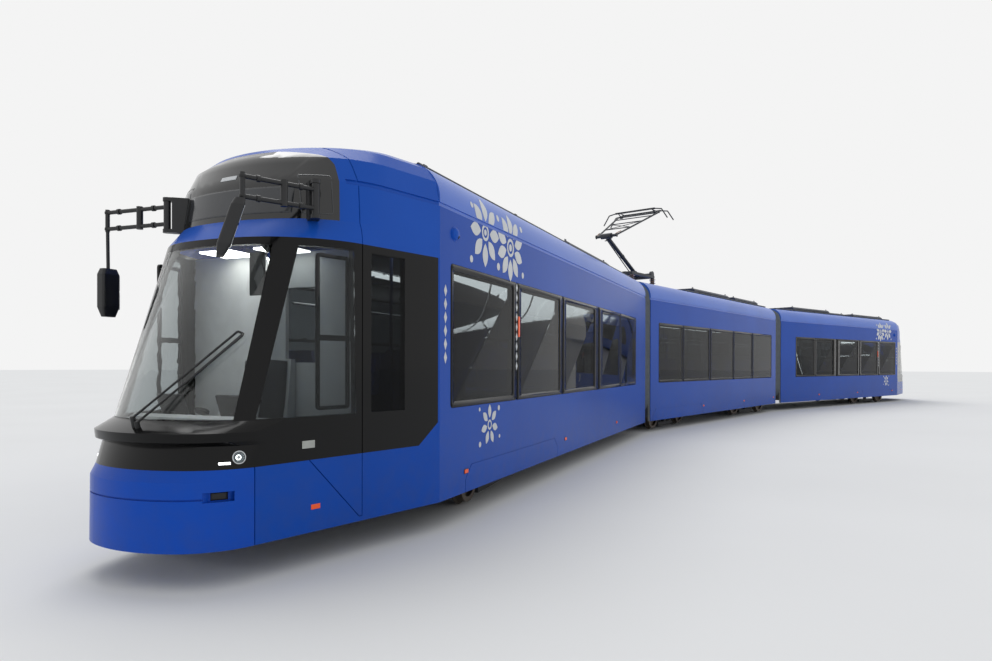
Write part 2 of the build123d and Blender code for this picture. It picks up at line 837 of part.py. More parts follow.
# Driver's seat seen from the side. Columns: setback, height over the floor
driver_seat_width = 480.0
driver_seat = [
    (1180.0, 0.0), (1180.0, 430.0), (1080.0, 450.0), (1080.0, 540.0), (1360.0, 520.0),
    (1430.0, 1120.0), (1480.0, 1120.0), (1470.0, 430.0), (1340.0, 430.0), (1340.0, 0.0),
]
with BuildPart() as cab:
    with BuildSketch(Plane.YZ.offset(end_length - cab_wall_back)):
        with Locations((0, (floor_top + window_top) / 2)):
            Rectangle(2 * inner_half, window_top - floor_top)
        with Locations((cab_window_across, cab_window_height)):
            Rectangle(cab_window_width, cab_window_tall, mode=Mode.SUBTRACT)
    extrude(amount=cab_wall_back - cab_wall_front)
    with BuildSketch(Plane.XZ.offset(-inner_half)):
        with BuildLine():
            Polyline(
                (end_length - desk_back, floor_top + knee_height),
                (end_length - desk_back, desk_top - desk_edge),
                (end_length - desk_front - desk_edge, desk_top),
                (end_length - desk_front, desk_top - desk_slope),
                (end_length - desk_front, floor_top),
                (end_length - desk_front - desk_foot, floor_top),
                (end_length - desk_front - desk_foot, floor_top + knee_height),
                close=True,
            )
        make_face()
    extrude(amount=2 * inner_half)
    add(cab_clear, mode=Mode.INTERSECT)
    with BuildSketch(Plane.XZ.offset(-driver_seat_width / 2)):
        with BuildLine():
            Polyline([(end_length - s, floor_top + z) for s, z in driver_seat], close=True)
        make_face()
    extrude(amount=driver_seat_width)
write_ends(cab.part, "cab")

# Seats, each one profile of leg, cushion and back. Columns: place, floor height, facing
seat_depth = 430.0
seat_leg = 120.0
seat_shell = 60.0
seat_lean = 60.0
seat_back = 40.0
seat_height = 430.0
seat_back_height = 880.0
seat_wide = 840.0
seat_narrow = 430.0
end_seats = [
    (end_bogie_x + 1125, podium_top, -1), (end_bogie_x + 325, podium_top, 1),
    (end_bogie_x - 475, podium_top, -1), (end_bogie_x - 1225, podium_top, 1),
    (5350, floor_top, -1), (4300, floor_top, 1), (3000, floor_top, -1), (1900, floor_top, 1),
]
middle_seats = [
    (middle_bogie_x + 1040, podium_top, -1), (middle_bogie_x + 190, podium_top, 1),
    (middle_bogie_x - 760, podium_top, -1), (1000, floor_top, 1), (-300, floor_top, -1),
    (760 - middle_bogie_x, podium_top, 1), (-middle_bogie_x - 190, podium_top, -1),
    (-middle_bogie_x - 1040, podium_top, 1),
]


# Seats on the door side: those that end short of each doorway
def beside_doors(seats, doors):
    kept = []
    for place, ground, facing in seats:
        knees = place + facing * seat_depth / 2
        back = place - facing * (seat_depth / 2 + seat_lean)
        if all(max(knees, back) < low or min(knees, back) > high for low, high in doors):
            kept.append((place, ground, facing))
    return kept


end_seats_right = beside_doors(end_seats, end_doors)
middle_seats_right = beside_doors(middle_seats, middle_doors)


def seat_row(seats, width):
    with BuildPart() as row:
        for place, ground, facing in seats:
            head = seat_depth / 2 + seat_lean
            with BuildSketch(Plane.XZ.offset(-inner_half)):
                with BuildLine():
                    Polyline(
                        (place - facing * seat_leg / 2, ground),
                        (place - facing * seat_leg / 2, ground + seat_height - seat_shell),
                        (place - facing * seat_depth / 2, ground + seat_height - seat_shell),
                        (place - facing * head, ground + seat_back_height),
                        (place - facing * (head - seat_back), ground + seat_back_height),
                        (place - facing * (seat_depth / 2 - seat_back), ground + seat_height),
                        (place + facing * seat_depth / 2, ground + seat_height),
                        (place + facing * seat_depth / 2, ground + seat_height - seat_shell),
                        (place + facing * seat_leg / 2, ground + seat_height - seat_shell),
                        (place + facing * seat_leg / 2, ground),
                        close=True,
                    )
                make_face()
            extrude(amount=width)
    return row.part


# Handrail poles from floor to ceiling. Columns: place along, place across, floor height
pole_radius = 17.0
end_poles = [(4400, -600, floor_top), (6020, -600, floor_top), (1400, 700, floor_top),
             (1400, -700, floor_top), (9250, 420, floor_top)]
middle_poles = [(1440, -600, floor_top), (-1440, -600, floor_top), (0, -600, floor_top),
                (500, 300, floor_top), (-900, 300, floor_top)]


def poles(places):
    with BuildPart() as rails:
        for along, across, ground in places:
            with BuildSketch(Plane.XY.offset(ground)):
                with Locations((along, across)):
                    Circle(pole_radius)
            extrude(amount=ceiling_bottom - ground)
    return rails.part


with BuildPart() as end_seating:
    add(seat_row(end_seats, seat_wide))
    add(mirror(seat_row(end_seats_right, seat_narrow), about=Plane.XZ))
    add(poles(end_poles))
write_ends(end_seating.part, "seats")

with BuildPart() as middle_seating:
    add(seat_row(middle_seats, seat_wide))
    add(mirror(seat_row(middle_seats_right, seat_narrow), about=Plane.XZ))
    add(poles(middle_poles))
write(middle_seating.part, "middle_seats")

# Roof equipment on two rails, with louvres along each side
gear_lift = 4.0
gear_edge = 60.0
gear_slope = 50.0
gear_rail = 60.0
gear_rail_inset = 80.0
gear_overhang = 150.0
louvre_count = 2
louvre_pitch = 20.0
louvre_depth = 12.0
louvre_margin = 200.0


def roof_gear(units):
    with BuildPart() as gear:
        for low, high, half, height in units:
            shoulder = roof_edge + height - gear_slope
            with BuildSketch(Plane.YZ.offset(low)):
                with BuildLine():
                    Polyline(
                        (-half, roof_crown + gear_lift),
                        (-half, shoulder),
                        (gear_edge - half, roof_edge + height),
                        (half - gear_edge, roof_edge + height),
                        (half, shoulder),
                        (half, roof_crown + gear_lift),
                        close=True,
                    )
                make_face()
            extrude(amount=high - low)
            for side in (-1, 1):
                with BuildSketch(Plane.XZ.offset(-side * half)):
                    with Locations(((low + high) / 2, (roof_crown + shoulder) / 2)):
                        with GridLocations(0, louvre_pitch, 1, louvre_count):
                            Rectangle(high - low - 2 * louvre_margin, louvre_pitch / 2)
                extrude(amount=side * louvre_depth, mode=Mode.SUBTRACT)
            with BuildSketch(Plane.XY.offset(roof_edge - gear_rail)):
                with GridLocations(0, 2 * (half - gear_rail_inset), 1, 2):
                    with Locations(((low + high) / 2, 0)):
                        Rectangle(high - low - 2 * gear_overhang, gear_rail)
            extrude(amount=roof_crown + gear_lift - roof_edge + 2 * gear_rail)
        add(roof_solid, mode=Mode.SUBTRACT)
    return gear.part


with BuildPart() as roof_full:
    extrude(roof_outline(Plane.YZ.offset(-end_length)), amount=2 * end_length)
roof_solid = roof_full.part
# Columns: low and high end, half width, height over the roof's edge
end_units = [(6500, 9100, 760, 120), (1900, 4500, 760, 150), (4850, 6100, 600, 110)]
middle_units = [(-1400, 1100, 760, 150), (-3900, -1900, 760, 150)]
write_ends(roof_gear(end_units), "roof_gear")
write(roof_gear(middle_units), "middle_roof_gear")

# Pantograph: base on four insulators, lower arm, upper arm and collector head
pan_pivot = Vector(2830.0, 0, rail_top + 3600.0)
pan_knee = Vector(4330.0, 0, rail_top + 4345.0)
pan_top = Vector(2780.0, 0, rail_top + 5080.0)
pan_base_half = 420.0
pan_base_bottom = pan_pivot.Z - 90.0
insulator_radius = 45.0
arm_radius = 45.0
knee_radius = 32.0
knee_half = 260.0
knuckle_half = 130.0
knuckle_wall = 30.0
upper_radius = 20.0
pin_gap = 0.1


def tube(start, end, radius):
    with BuildPart() as run:
        with BuildSketch(Plane(origin=start, z_dir=end - start)):
            Circle(radius)
        extrude(amount=(end - start).length)
    return run.part


pan_base_centre = pan_pivot.X + 480
pan_base_length = 1160.0
pan_bar_width = 80.0
pan_bar_height = 60.0
pan_cheek = 75.0
with BuildPart() as pan_base:
    with BuildSketch(Plane.XY.offset(pan_base_bottom)):
        with Locations((pan_base_centre, 0)):
            Rectangle(pan_base_length, 2 * pan_base_half)
            Rectangle(pan_base_length - 2 * pan_bar_width, 2 * (pan_base_half - pan_bar_width),
                      mode=Mode.SUBTRACT)
    extrude(amount=pan_bar_height)
    with BuildSketch(Plane.XY.offset(roof_edge - pan_bar_height)):
        with Locations((pan_base_centre, 0)):
            with GridLocations(pan_base_length - pan_bar_width, 2 * pan_base_half - pan_bar_width, 2, 2):
                Circle(insulator_radius)
    extrude(amount=pan_base_bottom - roof_edge + pan_bar_height)
    for side in (-1, 1):
        with BuildSketch(Plane.XZ.offset(-side * pan_base_half)):
            with Locations((pan_pivot.X, pan_pivot.Z)):
                Circle(pan_cheek)
            with Locations((pan_pivot.X, (pan_pivot.Z + pan_base_bottom) / 2)):
                Rectangle(2 * pan_cheek, pan_pivot.Z - pan_base_bottom)
        extrude(amount=side * pan_bar_height)
    with BuildSketch(Plane.XZ.offset(-body_width / 2)):
        with Locations((pan_pivot.X, pan_pivot.Z)):
            Circle(knee_radius + pin_gap)
    extrude(amount=body_width, mode=Mode.SUBTRACT)
    add(roof_solid, mode=Mode.SUBTRACT)
write(pan_base.part, "pantograph_base")

across = Vector(0, 1, 0)
with BuildPart() as lower_arm:
    add(tube(pan_pivot - across * pan_base_half, pan_pivot + across * pan_base_half, knee_radius))
    add(tube(pan_pivot, pan_knee, arm_radius))
    add(tube(pan_knee - across * knuckle_half, pan_knee + across * knuckle_half, knee_radius + knuckle_wall))
    add(tube(pan_knee - across * knee_half, pan_knee + across * knee_half, knee_radius + pin_gap),
        mode=Mode.SUBTRACT)
write(lower_arm.part, "pantograph_lower_arm")

head_half = 560.0
head_bar = 16.0
arm_inset = 22.0
with BuildPart() as upper_arm:
    add(tube(pan_knee - across * knee_half, pan_knee + across * knee_half, knee_radius))
    for side in (-1, 1):
        add(tube(pan_knee + across * side * (knee_half - arm_inset),
                 pan_top + across * side * (head_half - arm_inset), upper_radius))
    add(tube(pan_top - across * head_half, pan_top + across * head_half, head_bar))
write(upper_arm.part, "pantograph_upper_arm")

strip_spacing = 340.0
strip_half = 520.0
strip_width = 40.0
strip_height = 36.0
strip_lift = 70.0
hub_inset = 110.0
hub_half = 30.0
hub_wall = 18.0
link_radius = 12.0
horn_radius = 14.0
horn_reach = 330.0
horn_drop = 260.0
horn_bend = Vector(0, 180.0, -30.0)
with BuildPart() as head:
    for side in (-1, 1):
        hub = pan_top + across * side * (head_half - hub_inset)
        add(tube(hub - across * hub_half, hub + across * hub_half, head_bar + hub_wall))
        for end in (-1, 1):
            add(tube(hub, hub + Vector(end * strip_spacing / 2, 0, strip_lift), link_radius))
    for end in (-1, 1):
        centre = pan_top + Vector(end * strip_spacing / 2, 0, strip_lift)
        with BuildSketch(Plane(origin=centre - across * strip_half, x_dir=(1, 0, 0), z_dir=(0, 1, 0))):
            Rectangle(strip_width, strip_height)
        extrude(amount=2 * strip_half)
        for side in (-1, 1):
            start = centre + across * side * (strip_half - horn_radius / 2)
            bend = start + Vector(0, side * horn_bend.Y, horn_bend.Z)
            tip = start + Vector(0, side * horn_reach, -horn_drop)
            add(tube(start, bend, horn_radius))
            add(tube(bend, tip, horn_radius))
    bore_end = across * (head_half + hub_wall)
    add(tube(pan_top - bore_end, pan_top + bore_end, head_bar + pin_gap), mode=Mode.SUBTRACT)
write(head.part, "pantograph_head")

# Mirrors on folding arms. Place of the hinge, of the arm's outer end and of the head, seen on the
# front section: setback, across, height. The last three are the head's top, its foot and its turn
mirror_tube = 17.0
mirrors = {
    "left": [(1080, 750, 2665), (570, 527, 2665), (559, 515, 2572), (470, 423, 2173), 45.0],
    "right": [(1080, -750, 2665), (1050, -1415, 2665), (1052, -1408, 2252), (1052, -1408, 1840), 0.0],
}
# Mirror head from top to bottom. Columns: share of the way down, thickness, width
head_sections = [(0.0, 70.0, 130.0), (0.12, 92.0, 165.0), (0.8, 92.0, 165.0), (1.0, 50.0, 120.0)]
head_corner = 22.0
arm_spacing = 140.0
barrel_half = 114.0
hinge_radius = 34.0
hinge_pin = 12.0
bracket_half = 145.0
bracket_turn = 50.0
bracket_reach = 260.0
bracket_width = 80.0
bracket_start = 40.0


def hinge_plane(hinge, drop):
    turn = math.radians(bracket_turn)
    inward = (-math.cos(turn), -math.copysign(math.sin(turn), hinge[1]), 0)
    centre = (end_length - hinge[0], hinge[1], rail_top + hinge[2] + drop)
    return Plane(origin=centre, x_dir=inward, z_dir=(0, 0, 1))


with BuildPart() as brackets:
    for side, (hinge, *rest) in mirrors.items():
        with BuildSketch(hinge_plane(hinge, -bracket_half)):
            with Locations(((bracket_start + bracket_reach) / 2, 0)):
                Rectangle(bracket_reach - bracket_start, bracket_width)
            Circle(hinge_pin)
        extrude(amount=2 * bracket_half)
        for drop in (-bracket_half, barrel_half + 1):
            with BuildSketch(hinge_plane(hinge, drop)):
                Circle(hinge_radius)
                with Locations((bracket_start / 2 + 5, 0)):
                    Rectangle(bracket_start + 10, 2 * hinge_radius)
            extrude(amount=bracket_half - barrel_half - 1)
    add(nose_outer, mode=Mode.SUBTRACT)
write(end_place["front"] * brackets.part, "front_mirror_brackets")

for side, (hinge, outer, head_top, head_foot, head_turn) in mirrors.items():
    hinge_low = Vector(end_length - hinge[0], hinge[1], rail_top + hinge[2] - arm_spacing / 2)
    outer_low = Vector(end_length - outer[0], outer[1], rail_top + outer[2] - arm_spacing / 2)
    lift = Vector(0, 0, arm_spacing)
    barrel = Vector(0, 0, barrel_half - arm_spacing / 2)
    top = Vector(end_length - head_top[0], head_top[1], rail_top + head_top[2])
    foot = Vector(end_length - head_foot[0], head_foot[1], rail_top + head_foot[2])
    clamp = hinge_low + (outer_low - hinge_low) * 0.45
    with BuildPart() as mirror_arm:
        add(tube(hinge_low - barrel, hinge_low + lift + barrel, hinge_radius - 6))
        for start, end in ((hinge_low, outer_low), (hinge_low + lift, outer_low + lift)):
            add(tube(start, end, mirror_tube))
        for post, radius in ((outer_low, mirror_tube + 1), (clamp, mirror_tube + 9)):
            add(tube(post - Vector(0, 0, 25), post + lift + Vector(0, 0, 25), radius))
        add(tube(outer_low, top + (foot - top) * 0.3, mirror_tube - 3))
        for share, thickness, width in head_sections:
            spot = top + (foot - top) * share
            with BuildSketch(Plane.XY.offset(spot.Z)):
                with Locations((spot.X, spot.Y)):
                    RectangleRounded(thickness, width, head_corner, rotation=head_turn - 90)
        loft(ruled=True)
        add(tube(hinge_low - 2 * barrel, hinge_low + lift + 2 * barrel, hinge_pin + pin_gap),
            mode=Mode.SUBTRACT)
    write(end_place["front"] * mirror_arm.part, f"mirror_{side}")

# Wiper: two parallel arms from pivots on the mask's ledge, and the blade. Places: setback, across, height
wiper_root = (150.0, 0.0, rail_top + 1062.0)
wiper_tip = (575.0, 502.0, rail_top + 1649.0)
blade_low = (355.0, 226.0, rail_top + 1303.0)
blade_high = (607.0, 502.0, rail_top + 1649.0)
wiper_spread = 25.0
wiper_rod = 8.0
blade_radius = 9.0
pivot_boss = 17.0
boss_height = 110.0


def nose_point(place):
    return Vector(end_length - place[0], place[1], place[2])


with BuildPart() as wiper:
    spread = Vector(0, 0.78, -0.63) * wiper_spread
    for side in (-1, 1):
        root = nose_point(wiper_root) + spread * side
        tip = nose_point(wiper_tip) + spread * side
        add(tube(root, tip, wiper_rod))
        add(tube(root - Vector(30, 0, boss_height), root + Vector(0, 0, 12), pivot_boss))
    low = nose_point(blade_low)
    high = nose_point(blade_high)
    add(tube(low, high, blade_radius))
    for rod_end in (nose_point(wiper_tip) + spread, nose_point(wiper_tip) - spread):
        add(tube(rod_end, high, wiper_rod))
    add(nose_outer, mode=Mode.SUBTRACT)
write_ends(wiper.part, "wiper")

# Bellows: a folded sleeve that turns about the pivot from one end face to the other
bellows_inset = 25.0
bellows_wall = 30.0
bellows_gap = 0.3
bellows_folds = 9
fold_depth = 35.0
bellows_bottom = skirt_bottom + 150.0
bellows_top = roof_edge - 50.0


def bellows_ring(plane, inset):
    with BuildSketch(plane) as ring:
        with Locations((0, (bellows_bottom + bellows_top) / 2)):
            RectangleRounded(2 * (half_width - inset), bellows_top - bellows_bottom - 2 * inset,
                             roof_radius - inset)
    return ring.sketch


# Plane across the gangway at one share of the way round the bend
def bellows_plane(pivot, towards, yaw, share):
    turn = math.radians(yaw)
    reach = towards * (half_gap - bellows_gap)
    near = Vector(-reach, 0, 0) * (1 - share) ** 2
    far = Vector(math.cos(turn), math.sin(turn), 0) * reach * share**2
    here = turn * share
    return Plane(
        origin=Vector(pivot, 0, 0) + near + far,
        x_dir=(-math.sin(here), math.cos(here), 0),
        z_dir=(math.cos(here), math.sin(here), 0),
    )


def bellows(pivot, towards, yaw):
    steps = 2 * bellows_folds
    planes = [bellows_plane(pivot, towards, yaw, step / steps) for step in range(steps + 1)]
    insets = [bellows_inset + fold_depth * (step % 2) for step in range(steps + 1)]
    with BuildPart() as sleeve:
        loft([bellows_ring(plane, inset) for plane, inset in zip(planes, insets)], ruled=True)
        loft([bellows_ring(plane, inset + bellows_wall) for plane, inset in zip(planes, insets)],
             ruled=True, mode=Mode.SUBTRACT)
    return sleeve.part


write(bellows(middle_length / 2, 1, front_yaw), "front_bellows")
write(bellows(-middle_length / 2, -1, rear_yaw), "rear_bellows")

# Bogies
wheel_inner = gauge / 2 - gauge_play - flange_width
bogie_places = {
    "front_bogie": end_place["front"] * Location((end_bogie_x, 0, 0)),
    "middle_front_bogie": Location((middle_bogie_x, 0, 0)),
    "middle_rear_bogie": Location((-middle_bogie_x, 0, 0)),
    "rear_bogie": end_place["rear"] * Location((-end_bogie_x, 0, 0)),
}
brake_height = 90.0
brake_width = 70.0
brake_length = 900.0
brake_gap = 12.0
beam_rise = 60.0
axle_box = (240.0, 220.0)
hanger = 120.0
hanger_height = 80.0

with BuildPart() as bogie_frame:
    with BuildSketch(Plane.XY.offset(side_beam_bottom + beam_rise)):
        with GridLocations(0, 2 * side_beam_y, 1, 2):
            Rectangle(2 * frame_half_length, side_beam_width)
        Rectangle(transom_length, 2 * side_beam_y + side_beam_width)
    extrude(amount=side_beam_top - side_beam_bottom - beam_rise)
    with BuildSketch(Plane.XY.offset(side_beam_top)):
        Circle(pivot_radius)
    extrude(amount=pivot_height)
    with BuildSketch(Plane.XY.offset(side_beam_top)):
        Circle(kingpin_radius)
    extrude(amount=well_bottom - side_beam_top - kingpin_play)
    for side in (-1, 1):
        with BuildSketch(Plane.XZ.offset(-side * side_beam_y)):
            with GridLocations(wheelbase, 0, 2, 1):
                with Locations((0, axle_height)):
                    Rectangle(*axle_box)
        extrude(amount=side_beam_width / 2, both=True)
        with BuildSketch(Plane.XY.offset(rail_top + brake_gap)):
            with Locations((0, side * gauge / 2)):
                Rectangle(brake_length, brake_width)
        extrude(amount=brake_height)
        with BuildSketch(Plane.XY.offset(rail_top + brake_gap + brake_height)):
            with Locations((0, side * gauge / 2)):
                Rectangle(hanger, brake_width)
        extrude(amount=side_beam_top - rail_top - brake_gap - brake_height)
        with BuildSketch(Plane.XY.offset(side_beam_top - hanger_height)):
            with Locations((0, side * (gauge / 2 + side_beam_y) / 2)):
                Rectangle(hanger, gauge / 2 - side_beam_y)
        extrude(amount=hanger_height)
    with BuildSketch(Plane.XZ.offset(side_beam_y + side_beam_width)):
        with GridLocations(wheelbase, 0, 2, 1):
            with Locations((0, axle_height)):
                Circle(axle_radius + journal_gap)
    extrude(amount=-2 * (side_beam_y + side_beam_width), mode=Mode.SUBTRACT)
for name, place in bogie_places.items():
    turned = place * Location((0, 0, 0), (0, 0, bogie_turns[name]))
    write(turned * bogie_frame.part, f"{name}_frame")

with BuildPart() as wheelset:
    with BuildSketch(Plane.XY):
        with BuildLine():
            Polyline(
                (0, 0),
                (axle_radius, 0),
                (axle_radius, wheel_inner - 20),
                (hub_radius, wheel_inner - 20),
                (hub_radius, wheel_inner + 20),
                (wheel_radius - rim_depth, wheel_inner + 20),
                (wheel_radius - rim_depth, wheel_inner),
                (wheel_radius + flange_height - 8, wheel_inner),
                (wheel_radius + flange_height, wheel_inner + 8),
                (wheel_radius + flange_height, wheel_inner + flange_width - 12),
                (wheel_radius, wheel_inner + flange_width),
                (wheel_radius - 2, wheel_inner + wheel_width),
                (wheel_radius - rim_depth, wheel_inner + wheel_width),
                (wheel_radius - rim_depth, wheel_inner + 20 + web_width),
                (hub_radius, wheel_inner + 20 + web_width),
                (hub_radius, wheel_inner + wheel_width),
                (0, wheel_inner + wheel_width),
                close=True,
            )
        make_face()
    revolve(axis=Axis.Y)
    mirror(about=Plane.XZ)
for name, place in bogie_places.items():
    for end, side in (("front", 1), ("rear", -1)):
        spot = Location((side * wheelbase / 2, 0, axle_height))
        placed = place * Location((0, 0, 0), (0, 0, bogie_turns[name])) * spot
        write(placed * wheelset.part, f"{name}_{end}_wheelset")
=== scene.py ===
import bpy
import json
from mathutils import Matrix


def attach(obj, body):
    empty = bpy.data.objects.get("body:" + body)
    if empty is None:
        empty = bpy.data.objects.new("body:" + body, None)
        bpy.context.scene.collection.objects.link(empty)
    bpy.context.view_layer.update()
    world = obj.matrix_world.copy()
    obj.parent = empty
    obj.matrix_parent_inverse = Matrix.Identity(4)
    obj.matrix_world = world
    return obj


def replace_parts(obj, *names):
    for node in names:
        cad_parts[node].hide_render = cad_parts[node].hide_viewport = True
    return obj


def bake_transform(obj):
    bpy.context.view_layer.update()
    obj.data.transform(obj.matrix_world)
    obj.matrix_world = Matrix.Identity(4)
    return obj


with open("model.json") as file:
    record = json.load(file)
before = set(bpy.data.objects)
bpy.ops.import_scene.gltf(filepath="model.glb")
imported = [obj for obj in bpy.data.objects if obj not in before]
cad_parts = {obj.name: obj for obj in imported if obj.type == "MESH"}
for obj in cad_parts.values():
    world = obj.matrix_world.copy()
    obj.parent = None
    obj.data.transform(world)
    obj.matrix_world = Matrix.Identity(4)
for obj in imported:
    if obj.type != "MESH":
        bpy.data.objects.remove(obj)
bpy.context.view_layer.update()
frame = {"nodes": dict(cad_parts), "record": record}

import json
import math

import bmesh
import bpy
from mathutils import Matrix, Vector
from mathutils.bvhtree import BVHTree


def moveTo(x, y, z=0.0):
    return Matrix.Translation((x, y, z))


def turnBy(degrees, axis="Z"):
    return Matrix.Rotation(math.radians(degrees), 4, axis)


def around(degrees, radius=1.0):
    # the two coordinates of a point on a circle
    return radius * math.cos(math.radians(degrees)), radius * math.sin(math.radians(degrees))


def onWheel(degrees, radius, aside=0.0):
    # a point round an axle that lies across
    along, rise = around(degrees, radius)
    return Vector((along, aside, rise))


def spread(low, high, count):
    # evenly spaced places, the two ends among them
    return [low + (high - low) * step / (count - 1) for step in range(count)]


def back(setback, aside, height):
    return Vector((-setback, aside, height))


# Looks of a three-section low-floor tram, in metres.
# Places along a section are setbacks: from the nose on an end section, from the front pivot on the
# middle one. Heights are above the rail, unless a comment says otherwise.
tram = dict(
    rail=0.026, halfWidth=1.15, pivot=4.78, endLength=11.92, halfGap=0.33, frontYaw=15.08, rearYaw=-12.12,
    taperLength=2.3, taperAngle=14.33, windowBottom=1.038, windowTop=2.36, roofEdge=3.25, roofCrown=3.29,
)
rail = tram["rail"]
nodes = frame["nodes"]
ends = ("front", "rear")
kindOf = {"front": "end", "middle": "middle", "rear": "end"}
bodyOf = {section: section + "_section" for section in kindOf}
pivotSetback = {"end": tram["endLength"], "middle": tram["pivot"]}
sideNames = {1: "Left", -1: "Right"}
yAxis = Vector((0, 1, 0))
zAxis = Vector((0, 0, 1))
turned = {
    "front": moveTo(tram["pivot"], 0) @ turnBy(tram["frontYaw"]),
    "middle": Matrix.Identity(4),
    "rear": moveTo(-tram["pivot"], 0) @ turnBy(tram["rearYaw"]),
}
mirrored = Matrix.Diagonal((-1, 1, 1, 1))
sections = {
    "front": turned["front"] @ moveTo(tram["endLength"], 0, rail),
    "middle": moveTo(tram["pivot"], 0, rail),
    "rear": turned["rear"] @ mirrored @ moveTo(tram["endLength"], 0, rail),
}
print("frame loaded:", len(nodes), "nodes")


# materials: each starts from what the real surface is

def linear(hexColour):
    # sRGB hex to the linear values that the shader takes
    parts = [int(hexColour[i:i + 2], 16) / 255 for i in (1, 3, 5)]
    return tuple(p / 12.92 if p <= 0.04045 else ((p + 0.055) / 1.055) ** 2.4 for p in parts) + (1.0,)


def feed(tree, socket, value):
    # an input takes a value, another node's output, or a node, which stands for its first output
    if isinstance(value, bpy.types.Node):
        value = value.outputs[0]
    if isinstance(value, bpy.types.NodeSocket):
        tree.links.new(value, socket)
    else:
        socket.default_value = value


def addNode(tree, kind, inputs=None, **settings):
    # one node with its settings and links
    node = tree.nodes.new(kind)
    for key, value in settings.items():
        setattr(node, key, value)
    for name, value in (inputs or {}).items():
        feed(tree, node.inputs[name], value)
    return node


def startMaterial(name):
    # a material with only its shader, and the object's own coordinates
    material = bpy.data.materials.new(name)
    material.use_nodes = True
    tree = material.node_tree
    tree.nodes.clear()
    shader = addNode(tree, "ShaderNodeBsdfPrincipled")
    addNode(tree, "ShaderNodeOutputMaterial", {"Surface": shader})
    place = addNode(tree, "ShaderNodeTexCoord").outputs["Object"]
    return material, tree, shader, place


def setShader(tree, shader, **values):
    for name, value in values.items():
        feed(tree, shader.inputs[name.replace("_", " ")], value)


def patchy(tree, place, size, low, high, colour, shade):
    # two tones in soft patches of a real size in metres, between two levels of noise
    noise = addNode(tree, "ShaderNodeTexNoise", {"Vector": place, "Scale": 1 / size, "Detail": 3.0})
    share = addNode(tree, "ShaderNodeMapRange", {"Value": noise, "From Min": low, "From Max": high})
    return addNode(tree, "ShaderNodeMix", {0: share, 6: linear(colour), 7: linear(shade)},
                   data_type="RGBA").outputs[2]


def grained(tree, place, size, detail, strength, depth):
    # a bump whose grain has a real size and depth in metres
    noise = addNode(tree, "ShaderNodeTexNoise", {"Vector": place, "Scale": 1 / size, "Detail": detail})
    return addNode(tree, "ShaderNodeBump", {"Height": noise, "Strength": strength, "Distance": depth})


roadFilm = dict(low=0.25, high=1.15, share=0.2, colour="#4c525e", patch=0.12)


def twoPackPaint(name, colour, shade, roughness, film=True, lining=None, gloss=0.1):
    # two-pack polyurethane paint, sprayed and lacquered: deep even colour, clear reflections, slight
    # orange peel, a film of road dirt low down; the inside of the same panel wears its lining
    material, tree, shader, place = startMaterial(name)
    tone = patchy(tree, place, 1.4, 0.35, 0.65, colour, shade)
    if film:
        height = addNode(tree, "ShaderNodeSeparateXYZ", {"Vector": place}).outputs["Z"]
        fade = addNode(tree, "ShaderNodeMapRange", {
            "Value": height, "From Min": roadFilm["high"], "From Max": roadFilm["low"],
            "To Max": roadFilm["share"]})
        noise = addNode(tree, "ShaderNodeTexNoise", {
            "Vector": place, "Scale": 1 / roadFilm["patch"], "Detail": 6.0})
        dirt = addNode(tree, "ShaderNodeMapRange", {"Value": noise, "From Min": 0.35, "From Max": 0.8})
        share = addNode(tree, "ShaderNodeMath", {0: fade, 1: dirt}, operation="MULTIPLY")
        tone = addNode(tree, "ShaderNodeMix", {0: share, 6: tone, 7: linear(roadFilm["colour"])},
                       data_type="RGBA").outputs[2]
    if lining:
        # the object's coordinates turned back to the section's own straight axes, then tested
        section, across, upTo, inner = lining
        straight = addNode(tree, "ShaderNodeMapping", {
            "Vector": place, "Location": turned[section].to_translation(),
            "Rotation": (0, 0, turned[section].to_euler().z)}, vector_type="TEXTURE")
        axes = addNode(tree, "ShaderNodeSeparateXYZ", {"Vector": straight}).outputs
        inside = 1.0
        for axis, limit in (("Y", across), ("Z", upTo), ("X", tram["endLength"] - tram["taperLength"])):
            away = addNode(tree, "ShaderNodeMath", {0: axes[axis]}, operation="ABSOLUTE")
            near = addNode(tree, "ShaderNodeMath", {0: away, 1: limit}, operation="LESS_THAN")
            inside = addNode(tree, "ShaderNodeMath", {0: inside, 1: near}, operation="MULTIPLY")
        tone = addNode(tree, "ShaderNodeMix", {0: inside, 6: tone, 7: linear(inner)},
                       data_type="RGBA").outputs[2]
    # orange peel is about 3 mm wide, and is drawn at 12 mm so that it shows
    setShader(tree, shader, Base_Color=tone, Normal=grained(tree, place, 0.012, 2.0, 0.03, 0.002),
              Roughness=roughness, Coat_Weight=0.05, Coat_Roughness=0.06, Specular_IOR_Level=gloss)
    return material


def plainFinish(name, colour, shade, roughness, size, depth, metallic=0.0, coat=0.0, gloss=0.5):
    # moulded, cast or rolled surface in two tones, with a grain of a real size and depth in metres
    material, tree, shader, place = startMaterial(name)
    setShader(tree, shader, Base_Color=patchy(tree, place, size * 25, 0.35, 0.7, colour, shade),
              Normal=grained(tree, place, size, 3.0, 0.25, depth), Roughness=roughness, Metallic=metallic,
              Coat_Weight=coat, Coat_Roughness=0.08, Specular_IOR_Level=gloss)
    return material


def floatGlass(name, tint, transmission, bend):
    # float glass, tinted in the body: smooth, mirror-like at a low angle, faint waves half a metre apart
    material, tree, shader, place = startMaterial(name)
    setShader(tree, shader, Base_Color=linear(tint), Normal=grained(tree, place, 0.5, 1.0, 0.02, 0.01),
              Roughness=0.015, IOR=bend, Transmission_Weight=transmission)
    return material


